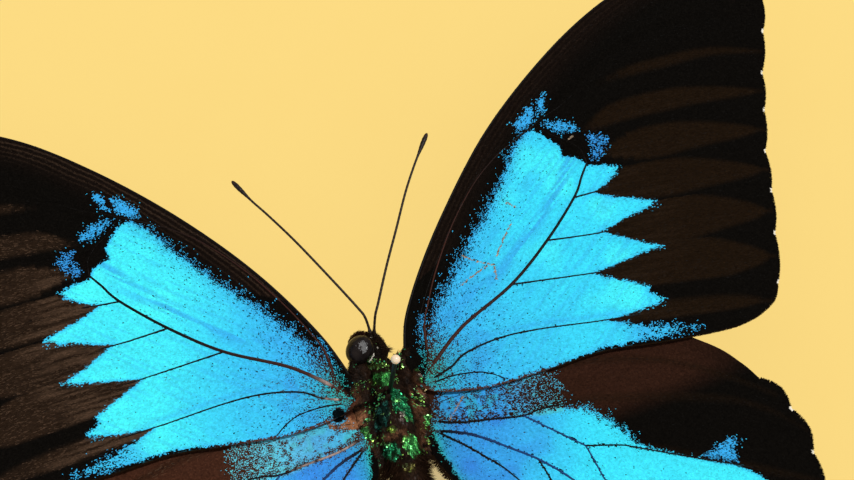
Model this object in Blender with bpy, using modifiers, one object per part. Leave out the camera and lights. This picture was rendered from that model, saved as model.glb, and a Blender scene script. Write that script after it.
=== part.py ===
"""A pinned Ulysses swallowtail (Papilio ulysses) with its wings spread, on a small block.

Wing outlines are in millimetres on the wing plane: x from the midline towards the wing tip, y towards the head,
z up. wing_point() takes them to the model's metres, whose origin is the middle of the block's underside.
"""

import math

import bmesh
import bpy
from mathutils import Matrix, Vector

MM = 0.001
GAP = 0.3                       # free space between neighbouring solids
WING_ORIGIN = (0.0, 3.7, 22.0)  # the middle of the wing roots, above the block's underside
SIDES = {"left": -1, "right": 1}

# Wings
FORE_THICK = 0.5
HIND_THICK = 0.5
HIND_DROP = 0.85                # the hindwing's middle surface below the forewing's
CAMBER = 1.0                    # how far the middle of a wing arches up
WING_REACH = 62.0
ROOT_DIP = 1.0                  # the hindwing curls down beside the abdomen
ROOT_DIP_WIDTH = 9.0
GRID = 8.0                      # the slabs are cut on this grid, so that they can bend

FORE_COSTA_ROOT = {
    "left": [(3.9, 2.0), (5.8, 7.2), (9.6, 14.1), (14.4, 20.9), (21.0, 28.4), (28.5, 35.4)],
    "right": [(2.9, 2.4), (4.2, 7.4), (8.0, 13.9), (13.2, 20.9), (20.1, 28.8), (28.0, 35.6)],
}
FORE_COSTA = [(36.2, 41.2), (44.0, 44.9), (52.0, 46.9), (58.0, 46.6), (61.2, 43.6)]
FORE_NOTCHES = [(61.3, 39.4), (59.9, 34.8), (57.9, 29.1), (56.5, 24.0), (54.8, 18.5), (53.9, 13.1),
                (52.5, 7.5), (50.9, 1.2)]
FORE_LOBE = 0.35
FORE_TORNUS = [(50.0, -0.7), (48.6, -1.8), (46.2, -2.8)]
FORE_INNER = [(42.4, -3.3), (34.5, -3.0), (27.0, -2.4), (20.0, -3.0), (12.0, -3.4), (6.0, -2.4), (3.6, -0.9)]

HIND_COSTA = [(3.5, -2.2), (7.0, -0.4), (14.0, 1.9), (23.0, 2.4), (32.0, 0.6), (40.1, -4.4), (43.4, -7.8)]
HIND_NOTCHES = [(45.0, -10.3), (47.4, -14.8), (48.3, -20.7), (46.9, -27.8), (41.6, -35.4)]
HIND_LOBE = 1.0
TAIL_ROOT = (36.3, -38.0)
TAIL_TIP = (39.8, -54.4)
TAIL_BOW = 0.5                  # how far the tail's middle bows inwards
TAIL_NECK = 1.25                # half its width at the neck
TAIL_CLUB = 2.9                 # half its width at the club
TAIL_STEPS = 14
HIND_REAR_NOTCHES = [(33.4, -40.0), (26.4, -43.0), (18.6, -43.9), (11.2, -42.4)]
HIND_INNER = [(8.9, -38.5), (7.7, -32.0), (6.9, -25.0), (5.9, -18.0), (4.8, -13.2), (3.4, -9.6), (3.3, -5.2)]

# Body: stations along y with (y, half width, half height, height of the middle)
TRUNK = [(3.35, 1.35, 1.45, -1.15), (2.6, 1.85, 1.95, -1.25), (1.8, 2.2, 2.5, -1.35), (0.2, 2.62, 3.05, -1.5),
         (-2.0, 2.86, 3.4, -1.6), (-4.5, 2.9, 3.4, -1.65), (-7.0, 2.72, 3.1, -1.65), (-9.0, 2.35, 2.6, -1.75),
         (-10.4, 2.15, 2.35, -1.85), (-12.5, 2.4, 2.5, -2.05), (-16.5, 2.6, 2.7, -2.5), (-21.0, 2.45, 2.55, -3.1),
         (-25.5, 1.95, 2.05, -3.65), (-28.8, 1.3, 1.4, -4.0), (-30.6, 0.7, 0.8, -4.15), (-31.3, 0.25, 0.3, -4.2)]
COLLAR_FRONT = 3.3
THORAX_FRONT = 2.05
ABDOMEN_FRONT = -9.9
ABDOMEN_TIP = -31.25
RING_POINTS = 22
RING_STEP = 1.25

# Head, in its own frame: y forwards, z up
HEAD_CENTRE = (-1.2, 5.15, -1.0)
HEAD_ROLL = math.radians(52)    # its crown leans to the specimen's right
HEAD_HALF = (1.95, 2.05, 2.0)
NECK_CUT = 1.51                 # the head's flat back, behind its centre
EYE_CENTRE = (1.62, -0.05, 0.1)
EYE_HALF = (1.2, 1.8, 1.9)
EYE_TURN = math.radians(12)     # the eyes face a little forwards
PALP_PATH = [(1.0, 1.95, -1.35), (1.0, 2.45, -0.7), (0.95, 2.55, 0.1), (0.85, 2.35, 0.75)]
PALP_RADIUS = 0.32
COIL_CENTRE = (0.0, 2.95, -1.35)
COIL_OUTER = 0.95
COIL_THICK = 0.5
COIL_HOLE = 0.3

# Feelers: their root in the head's frame, their points on the wing plane, and their thickness
ANTENNA_ROOT = (0.4, 1.8, 1.6)
ANTENNA = [(0.8, 8.4, 1.1), (1.6, 10.4, 1.5), (3.5, 14.1, 2.1), (6.1, 18.8, 2.6), (8.7, 23.2, 2.9),
           (10.6, 26.3, 3.0), (12.0, 28.5, 3.0), (12.9, 29.9, 2.9)]
ANTENNA_SHAFT = 0.25
ANTENNA_CLUB = 0.36
CLUB_FROM = 6                   # the point where the club starts to swell

# Legs, folded under the thorax: a path from hip over knee and ankle to toe, then each pair's hip
LEG_RADIUS = 0.26
LEG_PATH = [(0.0, 0.0, -5.0), (0.45, 1.3, -6.1), (0.8, 2.6, -7.1), (0.6, 1.0, -7.7), (0.2, -2.0, -8.2),
            (0.0, -5.0, -8.5), (-0.1, -8.0, -8.3)]
LEGS = {"fore": (0.8, 0.2, 0.1), "mid": (1.6, -2.8, 0.35), "hind": (2.4, -5.8, 1.05)}

# Pin and block
PIN_SPOT = (0.0, -1.2)
PIN_RADIUS = 0.27
PIN_TOP = 13.4
PIN_FOOT = -20.0
PIN_HEAD_RADIUS = 0.75
PIN_HEAD_HEIGHT = 14.5
BLOCK = (48.0, 18.0, 8.0)
BLOCK_EDGE = 0.8


def wing_point(x, y, z=0.0):
    """The model's point, in metres, of a point in millimetres on the wing plane."""
    return Vector((x + WING_ORIGIN[0], y + WING_ORIGIN[1], z + WING_ORIGIN[2])) * MM


def clear_scene():
    for obj in list(bpy.data.objects):
        bpy.data.objects.remove(obj, do_unlink=True)


def new_collection(name, hidden=False):
    group = bpy.data.collections.new(name)
    bpy.context.scene.collection.children.link(group)
    group.hide_render = hidden
    return group


def new_material(name, colour, roughness, metallic=0.0):
    material = bpy.data.materials.new(name)
    material.use_nodes = True
    shader = material.node_tree.nodes["Principled BSDF"]
    shader.inputs["Base Color"].default_value = (*colour, 1.0)
    shader.inputs["Roughness"].default_value = roughness
    shader.inputs["Metallic"].default_value = metallic
    return material


def add_object(name, data, group, material=None):
    obj = bpy.data.objects.new(name, data)
    group.objects.link(obj)
    if material:
        obj.data.materials.append(material)
    return obj


def finish_bmesh(mesh_builder, name, group, material=None, smooth=True):
    bmesh.ops.recalc_face_normals(mesh_builder, faces=mesh_builder.faces)
    if mesh_builder.calc_volume(signed=True) < 0:
        bmesh.ops.reverse_faces(mesh_builder, faces=mesh_builder.faces)
    mesh = bpy.data.meshes.new(name)
    mesh_builder.to_mesh(mesh)
    mesh_builder.free()
    if smooth:
        mesh.shade_smooth()
        mesh.set_sharp_from_angle(angle=math.radians(40))
    return add_object(name, mesh, group, material)


# ---- Wings ----

def smooth_line(points, steps=3):
    """Points of a smooth (Catmull-Rom) curve through the given ones."""
    line = []
    for i in range(len(points) - 1):
        before, here = Vector(points[max(i - 1, 0)]), Vector(points[i])
        there, after = Vector(points[i + 1]), Vector(points[min(i + 2, len(points) - 1)])
        for step in range(steps):
            t = step / steps
            line.append(0.5 * ((2 * here) + (there - before) * t
                               + (2 * before - 5 * here + 4 * there - after) * t ** 2
                               + (3 * here - before - 3 * there + after) * t ** 3))
    line.append(Vector(points[-1]))
    return line


def lobed_line(notches, depth, steps=4):
    """A margin of shallow lobes that bulge outwards between the notches."""
    line = []
    for start, end in zip(notches, notches[1:]):
        start, end = Vector(start), Vector(end)
        along = end - start
        outwards = Vector((-along.y, along.x)).normalized()
        for step in range(steps):
            t = step / steps
            line.append(start + along * t + outwards * depth * math.sin(math.pi * t))
    line.append(Vector(notches[-1]))
    return line


def tail_line():
    """The spatula-shaped tail, from its front edge round its tip to its rear edge."""
    root, tip = Vector(TAIL_ROOT), Vector(TAIL_TIP)
    along = tip - root
    side = Vector((-along.y, along.x)).normalized()
    front, rear = [], []
    for step in range(1, TAIL_STEPS + 1):
        t = math.sin(math.pi / 2 * step / (TAIL_STEPS + 1))
        swell = min(max((t - 0.3) / 0.42, 0.0), 1.0)
        width = TAIL_NECK + (TAIL_CLUB - TAIL_NECK) * swell * swell * (3 - 2 * swell)
        width *= math.sqrt(max(0.0, 1 - (max(0.0, t - 0.78) / 0.22) ** 2))
        middle = root + along * t - side * TAIL_BOW * math.sin(math.pi * t)
        front.append(middle + side * width)
        rear.append(middle - side * width)
    return front + [tip] + rear[::-1]


def forewing_outline(name):
    apex = smooth_line(FORE_COSTA_ROOT[name] + FORE_COSTA + FORE_NOTCHES[:1])
    margin = lobed_line(FORE_NOTCHES, FORE_LOBE)
    corner = smooth_line([FORE_NOTCHES[-1]] + FORE_TORNUS + FORE_INNER)
    return apex[:-1] + margin[:-1] + corner


def hindwing_outline():
    front = smooth_line(HIND_COSTA + HIND_NOTCHES[:1])
    margin = lobed_line(HIND_NOTCHES, HIND_LOBE)
    rear = lobed_line(HIND_REAR_NOTCHES, HIND_LOBE)
    inner = smooth_line([HIND_REAR_NOTCHES[-1]] + HIND_INNER)
    return front[:-1] + margin + tail_line() + rear[:-1] + inner


def arch(x):
    """The height of a spread wing's middle surface over the wing plane."""
    return CAMBER * math.sin(math.pi * min(max(x / WING_REACH, 0.0), 1.0))


def forewing_height(x, y):
    return arch(x)


def hindwing_height(x, y):
    dip = max(0.0, 1 - x / ROOT_DIP_WIDTH) ** 2
    return arch(x) - HIND_DROP - ROOT_DIP * dip


def make_wing(name, side, outline, height, thickness, group, material):
    """A slab with the wing's outline, bent to its arch."""
    flat = bpy.data.curves.new(name, "CURVE")
    flat.dimensions = "2D"
    flat.fill_mode = "BOTH"
    flat.extrude = thickness / 2
    spline = flat.splines.new("POLY")
    spline.points.add(len(outline) - 1)
    for point, (x, y) in zip(spline.points, outline):
        point.co = (x, y, 0.0, 1.0)
    spline.use_cyclic_u = True
    pattern = bpy.data.objects.new(name + "_pattern", flat)
    group.objects.link(pattern)
    graph = bpy.context.evaluated_depsgraph_get()
    slab = bmesh.new()
    slab.from_mesh(bpy.data.meshes.new_from_object(pattern.evaluated_get(graph)))
    bpy.data.objects.remove(pattern, do_unlink=True)
    bmesh.ops.remove_doubles(slab, verts=slab.verts, dist=0.001)
    low = [min(point[axis] for point in outline) for axis in (0, 1)]
    high = [max(point[axis] for point in outline) for axis in (0, 1)]
    for axis, normal in ((0, (1, 0, 0)), (1, (0, 1, 0))):
        cut = low[axis] + GRID
        while cut < high[axis] - GRID / 3:
            place = [0.0, 0.0, 0.0]
            place[axis] = cut
            geometry = slab.verts[:] + slab.edges[:] + slab.faces[:]
            bmesh.ops.bisect_plane(slab, geom=geometry, plane_co=place, plane_no=normal, dist=0.02)
            cut += GRID
    for vertex in slab.verts:
        x, y, z = vertex.co
        vertex.co = wing_point(side * x, y, z + height(x, y))
    return finish_bmesh(slab, name, group, material)


# ---- Body ----

def trunk_section(y):
    """Half width, half height and middle height of the body at y."""
    for front, rear in zip(TRUNK, TRUNK[1:]):
        if front[0] >= y >= rear[0]:
            t = (front[0] - y) / (front[0] - rear[0])
            t = t * t * (3 - 2 * t) if front[0] < -10 else t
            return [a + (b - a) * t for a, b in zip(front[1:], rear[1:])]
    return TRUNK[-1][1:] if y < TRUNK[-1][0] else TRUNK[0][1:]


def make_trunk(name, front, rear, group, material):
    """A length of the body: rings lofted from its front to its rear, with flat ends."""
    loft = bmesh.new()
    steps = max(2, round((front - rear) / RING_STEP))
    rings = []
    for step in range(steps + 1):
        y = front + (rear - front) * step / steps
        width, height, middle = trunk_section(y)
        ring = []
        for i in range(RING_POINTS):
            angle = 2 * math.pi * i / RING_POINTS
            ring.append(loft.verts.new(wing_point(width * math.cos(angle), y, middle + height * math.sin(angle))))
        rings.append(ring)
    for one, two in zip(rings, rings[1:]):
        for i in range(RING_POINTS):
            j = (i + 1) % RING_POINTS
            loft.faces.new((one[i], one[j], two[j], two[i]))
    loft.faces.new(rings[0])
    loft.faces.new(rings[-1])
    return finish_bmesh(loft, name, group, material)


def head_frame():
    """The matrix from the head's own frame, in millimetres, to the model."""
    turn = Matrix.Rotation(HEAD_ROLL, 4, "Y")
    return Matrix.Translation(wing_point(*HEAD_CENTRE)) @ turn @ Matrix.Scale(MM, 4)


def make_ellipsoid(name, centre, half, frame, group, material=None, turn=0.0, segments=20, rings=12):
    ball = bmesh.new()
    place = Matrix.Translation(Vector(centre)) @ Matrix.Rotation(turn, 4, "Z") @ Matrix.Diagonal((*half, 1.0))
    bmesh.ops.create_uvsphere(ball, u_segments=segments, v_segments=rings, radius=1.0, matrix=frame @ place)
    return finish_bmesh(ball, name, group, material)


def subtract(obj, cutter):
    cut = obj.modifiers.new("cut_" + cutter.name, "BOOLEAN")
    cut.operation = "DIFFERENCE"
    cut.object = cutter
    cut.solver = "EXACT"


def hide_cutter(obj):
    obj.hide_render = True
    obj.display_type = "WIRE"
    return obj


def make_box(name, centre, size, frame, group, material=None):
    box = bmesh.new()
    place = Matrix.Translation(Vector(centre)) @ Matrix.Diagonal((*size, 1.0))
    bmesh.ops.create_cube(box, size=1.0, matrix=frame @ place)
    return finish_bmesh(box, name, group, material, smooth=False)


def make_cylinder(name, x, y, low, high, radius, group, material=None, segments=16):
    """An upright cylinder on the wing plane's x and y."""
    shaft = bmesh.new()
    place = Matrix.Translation(wing_point(x, y, (low + high) / 2))
    bmesh.ops.create_cone(shaft, cap_ends=True, segments=segments, radius1=radius * MM, radius2=radius * MM,
                          depth=(high - low) * MM, matrix=place)
    return finish_bmesh(shaft, name, group, material)


def make_tube(name, points, radii, group, material):
    """A tapering tube with flat ends through points in the model's frame, smoothed."""
    curve = bpy.data.curves.new(name, "CURVE")
    curve.dimensions = "3D"
    curve.bevel_depth = 1.0
    curve.bevel_resolution = 2
    curve.use_fill_caps = True
    path = smooth_line([(*point, radius * MM) for point, radius in zip(points, radii)], steps=2)
    spline = curve.splines.new("POLY")
    spline.points.add(len(path) - 1)
    for place, (x, y, z, radius) in zip(spline.points, path):
        place.co = (x, y, z, 1.0)
        place.radius = radius
    return add_object(name, curve, group, material)


def make_head(parts, cutters, chitin, eye_black):
    frame = head_frame()
    head = make_ellipsoid("head", (0, 0, 0), HEAD_HALF, frame, parts, chitin)
    back = make_box("cut_neck", (0, -NECK_CUT - 2, 0), (8, 4, 8), frame, cutters)
    subtract(head, hide_cutter(back))
    for name, side in SIDES.items():
        centre = (side * EYE_CENTRE[0], EYE_CENTRE[1], EYE_CENTRE[2])
        turn = side * EYE_TURN
        make_ellipsoid("eye_" + name, centre, EYE_HALF, frame, parts, eye_black, turn)
        roomy = [half + GAP for half in EYE_HALF]
        socket = make_ellipsoid("cut_eye_" + name, centre, roomy, frame, cutters, None, turn)
        subtract(head, hide_cutter(socket))
        palp = [frame @ Vector((side * x, y, z)) for x, y, z in PALP_PATH]
        make_tube("palp_" + name, palp, [PALP_RADIUS, PALP_RADIUS, PALP_RADIUS, 0.2], parts, chitin)


def make_proboscis(parts, chitin):
    """The coiled tongue, as the flat ring that its turns fill."""
    profile = bpy.data.meshes.new("proboscis")
    coil = bmesh.new()
    low, high = -COIL_THICK / 2, COIL_THICK / 2
    corners = [(COIL_HOLE, high), (COIL_OUTER, high), (COIL_OUTER, low), (COIL_HOLE, low)]
    verts = [coil.verts.new((radius * MM, 0.0, z * MM)) for radius, z in corners]
    for one, two in zip(verts, verts[1:] + verts[:1]):
        coil.edges.new((one, two))
    coil.to_mesh(profile)
    coil.free()
    proboscis = add_object("proboscis", profile, parts, chitin)
    turned = proboscis.modifiers.new("turns", "SCREW")
    turned.steps = 28
    turned.render_steps = 28
    turned.use_merge_vertices = True
    turned.merge_threshold = 0.000001
    turned.use_normal_calculate = False
    frame = Matrix.Translation(wing_point(*HEAD_CENTRE)) @ Matrix.Rotation(HEAD_ROLL, 4, "Y")
    offset = Matrix.Translation(Vector(COIL_CENTRE) * MM)
    proboscis.matrix_world = frame @ offset @ Matrix.Rotation(math.radians(90), 4, "Y")


def make_antenna(name, side, group, material):
    root = head_frame() @ Vector((side * ANTENNA_ROOT[0], *ANTENNA_ROOT[1:]))
    points = [root] + [wing_point(side * x, y, z) for x, y, z in ANTENNA]
    radii = [ANTENNA_SHAFT] * CLUB_FROM + [ANTENNA_SHAFT + 0.03, ANTENNA_CLUB, ANTENNA_CLUB * 0.8]
    make_tube(name, points, radii, group, material)


def make_leg(name, pair, side, group, material):
    out, along, lift = LEGS[pair]
    points = [wing_point(side * (out + x), along + y, z + lift) for x, y, z in LEG_PATH]
    make_tube(name, points, [LEG_RADIUS] * (len(points) - 1) + [LEG_RADIUS * 0.97], group, material)


def make_stand(parts, cutters, steel, nylon, card):
    middle = Vector((0.0, 0.0, BLOCK[2] / 2))
    block = make_box("stand_base", middle, BLOCK, Matrix.Scale(MM, 4), parts, card)
    edge = block.modifiers.new("rounded_edges", "BEVEL")
    edge.width = BLOCK_EDGE * MM
    edge.segments = 3
    x, y = PIN_SPOT
    hole = make_cylinder("cut_pin", x, y, PIN_FOOT - GAP, PIN_TOP, PIN_RADIUS + GAP, cutters)
    subtract(block, hide_cutter(hole))
    subtract(bpy.data.objects["thorax"], hole)
    make_cylinder("stand_pin", x, y, PIN_FOOT, PIN_TOP, PIN_RADIUS, parts, steel, segments=12)
    centre = wing_point(x, y, PIN_HEAD_HEIGHT) / MM
    half = [PIN_HEAD_RADIUS] * 3
    make_ellipsoid("stand_pin_head", centre, half, Matrix.Scale(MM, 4), parts, nylon, segments=16, rings=10)


def main():
    clear_scene()
    parts = new_collection("ulysses_swallowtail")
    cutters = new_collection("cutters")
    velvet = new_material("wing_scales", (0.012, 0.12, 0.38), 0.6)
    chitin = new_material("dark_chitin", (0.02, 0.015, 0.012), 0.6)
    eye_black = new_material("eye_black", (0.006, 0.006, 0.007), 0.12)
    steel = new_material("pin_steel", (0.03, 0.03, 0.035), 0.3, 1.0)
    nylon = new_material("pin_head_plastic", (0.8, 0.62, 0.55), 0.3)
    card = new_material("block_card", (0.86, 0.76, 0.5), 0.8)

    for name, side in SIDES.items():
        make_wing("forewing_" + name, side, forewing_outline(name), forewing_height, FORE_THICK, parts, velvet)
        make_wing("hindwing_" + name, side, hindwing_outline(), hindwing_height, HIND_THICK, parts, velvet)
        make_antenna("antenna_" + name, side, parts, chitin)
        for pair in LEGS:
            make_leg(f"leg_{pair}_{name}", pair, side, parts, chitin)
    make_trunk("prothorax", COLLAR_FRONT, THORAX_FRONT + GAP, parts, chitin)
    make_trunk("thorax", THORAX_FRONT, ABDOMEN_FRONT + GAP, parts, chitin)
    make_trunk("abdomen", ABDOMEN_FRONT, ABDOMEN_TIP, parts, chitin)
    make_head(parts, cutters, chitin, eye_black)
    make_proboscis(parts, chitin)
    make_stand(parts, cutters, steel, nylon, card)


main()
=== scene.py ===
"""Looks of a pinned Ulysses swallowtail (Papilio ulysses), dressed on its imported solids.

Sizes are in millimetres on the wing plane, as in the solids: x from the midline towards the wing tip,
y towards the head, z up. They are given for the right side, and the left mirrors them. to_model() takes
them to metres.
"""

import math

import bpy
import numpy as np
from mathutils import Matrix, Vector
from mathutils.geometry import delaunay_2d_cdt


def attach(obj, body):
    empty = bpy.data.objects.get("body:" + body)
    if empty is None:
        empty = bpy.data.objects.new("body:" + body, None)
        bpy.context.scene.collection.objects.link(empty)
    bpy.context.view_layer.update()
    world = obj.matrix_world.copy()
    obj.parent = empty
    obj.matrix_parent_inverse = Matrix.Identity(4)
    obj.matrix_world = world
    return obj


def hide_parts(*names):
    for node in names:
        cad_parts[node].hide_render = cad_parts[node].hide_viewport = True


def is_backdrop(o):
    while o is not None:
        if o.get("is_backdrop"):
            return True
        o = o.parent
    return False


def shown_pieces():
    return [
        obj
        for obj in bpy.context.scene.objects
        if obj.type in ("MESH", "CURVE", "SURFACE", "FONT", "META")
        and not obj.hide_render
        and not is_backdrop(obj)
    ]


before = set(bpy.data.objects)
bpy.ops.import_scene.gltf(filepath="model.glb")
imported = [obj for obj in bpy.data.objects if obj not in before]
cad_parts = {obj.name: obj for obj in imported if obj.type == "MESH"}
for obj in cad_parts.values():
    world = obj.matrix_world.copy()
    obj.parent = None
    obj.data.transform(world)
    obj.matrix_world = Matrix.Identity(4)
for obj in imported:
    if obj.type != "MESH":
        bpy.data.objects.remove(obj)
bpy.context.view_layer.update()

MM = 0.001
WING_ORIGIN = np.array((0.0, 3.7, 22.0))
SIDES = {"left": -1, "right": 1}
SCALE_DRAFT = 1.0

# ---- Plan of the wings, as in the solids ----
HIND_DROP = 0.85
CAMBER = 1.0
WING_REACH = 62.0
ROOT_DIP = 1.0
ROOT_DIP_WIDTH = 9.0
FORE_COSTA_ROOT = {
    "left": [(3.9, 2.0), (5.8, 7.2), (9.6, 14.1), (14.4, 20.9), (21.0, 28.4), (28.5, 35.4)],
    "right": [(2.9, 2.4), (4.2, 7.4), (8.0, 13.9), (13.2, 20.9), (20.1, 28.8), (28.0, 35.6)],
}
FORE_COSTA = [(36.2, 41.2), (44.0, 44.9), (52.0, 46.9), (58.0, 46.6), (61.2, 43.6)]
FORE_NOTCHES = [(61.3, 39.4), (59.9, 34.8), (57.9, 29.1), (56.5, 24.0), (54.8, 18.5), (53.9, 13.1),
                (52.5, 7.5), (50.9, 1.2)]
FORE_LOBE = 0.35
FORE_TORNUS = [(50.0, -0.7), (48.6, -1.8), (46.2, -2.8)]
FORE_INNER = [(42.4, -3.3), (34.5, -3.0), (27.0, -2.4), (20.0, -3.0), (12.0, -3.4), (6.0, -2.4), (3.6, -0.9)]
HIND_COSTA = [(3.5, -2.2), (7.0, -0.4), (14.0, 1.9), (23.0, 2.4), (32.0, 0.6), (40.1, -4.4), (43.4, -7.8)]
HIND_NOTCHES = [(45.0, -10.3), (47.4, -14.8), (48.3, -20.7), (46.9, -27.8), (41.6, -35.4)]
HIND_LOBE = 1.0
TAIL_ROOT = (36.3, -38.0)
TAIL_TIP = (39.8, -54.4)
TAIL_BOW = 0.5
TAIL_NECK = 1.25
TAIL_CLUB = 2.9
TAIL_STEPS = 24
HIND_REAR_NOTCHES = [(33.4, -40.0), (26.4, -43.0), (18.6, -43.9), (11.2, -42.4)]
HIND_INNER = [(8.9, -38.5), (7.7, -32.0), (6.9, -25.0), (5.9, -18.0), (4.8, -13.2), (3.4, -9.6), (3.3, -5.2)]

# ---- Veins: course, half thickness at the root and at the end, half width of the brown streak ----
FORE_VEINS = {
    "subcosta": ([(5.0, 2.6), (5.7, 6.4), (8.7, 11.8), (13.2, 18.2), (18.8, 24.9), (24.2, 30.2), (28.8, 34.4),
                  (33.6, 38.4), (38.0, 41.2)], 0.13, 0.07, 0.0),
    "radius": ([(5.9, 2.6), (6.4, 6.2), (7.7, 9.1), (9.8, 13.0), (13.3, 18.2), (17.4, 22.8), (21.0, 25.6),
                (23.2, 26.8), (26.9, 28.6)], 0.17, 0.12, 0.0),
    "radius_1": ([(13.3, 18.2), (18.4, 24.0), (23.8, 28.9), (28.7, 33.3), (33.9, 37.2), (39.8, 40.6),
                  (46.0, 43.9)], 0.11, 0.06, 0.0),
    "radius_2": ([(19.8, 24.8), (24.8, 28.9), (29.6, 33.0), (35.6, 37.2), (42.0, 40.4), (51.0, 44.6)],
                 0.1, 0.05, 0.0),
    "radius_3": ([(27.1, 28.8), (28.1, 31.3), (31.2, 34.3), (34.7, 36.6), (42.0, 39.4), (50.0, 42.0),
                  (57.6, 44.0)], 0.1, 0.05, 0.0),
    "radius_fork": ([(26.9, 28.6), (28.3, 29.3), (30.8, 30.3), (33.2, 31.7)], 0.12, 0.1, 0.0),
    "radius_4": ([(33.2, 31.7), (34.3, 32.6), (37.4, 34.6), (40.1, 36.0), (48.0, 38.1), (60.4, 37.2)],
                 0.09, 0.05, 0.0),
    "radius_5": ([(33.2, 31.7), (35.0, 31.9), (40.7, 33.0), (45.4, 33.3), (52.3, 33.4), (58.7, 32.0)],
                 0.09, 0.05, 0.55),
    "cell_end": ([(26.9, 28.6), (28.5, 26.8), (30.2, 25.6), (30.9, 24.9), (31.7, 23.8), (31.9, 21.9)],
                 0.1, 0.11, 0.0),
    "media_1": ([(30.2, 25.8), (31.8, 26.0), (34.5, 26.9), (38.0, 27.9), (47.0, 28.0), (57.0, 26.6)],
                0.09, 0.05, 1.15),
    "media_2": ([(31.7, 23.2), (34.2, 22.8), (39.5, 22.9), (47.0, 22.6), (55.6, 21.3)], 0.1, 0.05, 1.8),
    "cubitus": ([(5.8, 0.8), (10.8, 4.8), (18.2, 8.6), (24.1, 13.1), (29.0, 17.8), (30.8, 20.4),
                 (31.9, 21.9)], 0.24, 0.13, 0.0),
    "media_3": ([(29.0, 17.8), (31.4, 17.9), (36.0, 18.1), (45.0, 17.5), (54.4, 15.9)], 0.13, 0.05, 2.1),
    "cubitus_1": ([(24.1, 13.1), (26.9, 12.8), (30.7, 12.5), (38.0, 12.3), (46.0, 11.7), (53.0, 10.4)],
                  0.13, 0.05, 2.8),
    "cubitus_2": ([(18.2, 8.6), (22.0, 8.2), (28.0, 7.6), (36.0, 6.9), (44.0, 5.9), (51.5, 4.5)],
                  0.13, 0.05, 3.2),
    "anal_2": ([(5.4, -0.7), (8.1, 0.2), (10.4, 1.5), (14.8, 2.3), (19.8, 2.2), (27.2, 1.4), (33.4, 0.9),
                (42.0, -0.1), (49.4, -1.1)], 0.16, 0.06, 2.2),
    "anal_3": ([(5.3, -1.2), (8.0, -0.9), (11.1, -1.2), (13.0, -2.0), (14.2, -2.9)], 0.11, 0.07, 0.0),
}
HIND_VEINS = {
    "subcosta": ([(4.4, -3.6), (9.0, -3.2), (16.0, -2.6), (25.0, -2.9), (34.0, -5.2), (41.0, -8.9),
                  (46.2, -12.6)], 0.13, 0.06, 0.6),
    "radius": ([(4.6, -5.6), (7.7, -6.6), (11.8, -7.2), (15.2, -7.7), (17.6, -7.4), (21.1, -7.5),
                (24.4, -7.8), (29.5, -8.8), (35.1, -10.2), (40.8, -12.0), (45.2, -14.6), (48.6, -17.8)],
               0.15, 0.05, 0.5),
    "cell_front": ([(15.2, -7.7), (18.3, -10.4), (21.5, -13.2)], 0.12, 0.1, 0.0),
    "media_1": ([(21.5, -13.2), (25.7, -14.2), (27.6, -15.0), (34.0, -17.9), (38.4, -19.8), (43.0, -21.9),
                 (48.1, -24.2)], 0.11, 0.05, 0.6),
    "cell_end": ([(21.5, -13.2), (22.0, -15.3), (22.5, -17.6), (23.4, -20.6), (22.6, -24.0)], 0.1, 0.1, 0.0),
    "media_2": ([(22.6, -18.0), (28.0, -21.6), (36.0, -26.4), (45.2, -31.4)], 0.11, 0.05, 0.6),
    "cubitus": ([(4.6, -6.8), (7.7, -8.0), (10.0, -9.3), (12.3, -11.0), (15.5, -13.4), (18.6, -16.6),
                 (21.2, -20.4), (22.6, -24.0)], 0.17, 0.12, 0.0),
    "media_3": ([(22.6, -24.0), (27.0, -28.4), (32.4, -34.2), (36.3, -39.6), (38.0, -46.0), (39.2, -52.4)],
                0.12, 0.07, 0.6),
    "cubitus_1": ([(21.2, -20.4), (22.8, -27.0), (26.2, -34.6), (30.0, -42.0)], 0.11, 0.05, 0.6),
    "cubitus_2": ([(15.5, -13.4), (17.2, -20.0), (19.4, -30.0), (22.5, -44.0)], 0.11, 0.05, 0.6),
    "anal_2": ([(4.4, -6.8), (7.3, -9.4), (9.4, -11.5), (11.5, -13.8), (13.4, -17.2), (14.6, -23.0),
                (15.0, -32.0), (14.9, -43.5)], 0.14, 0.06, 0.6),
}

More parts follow.
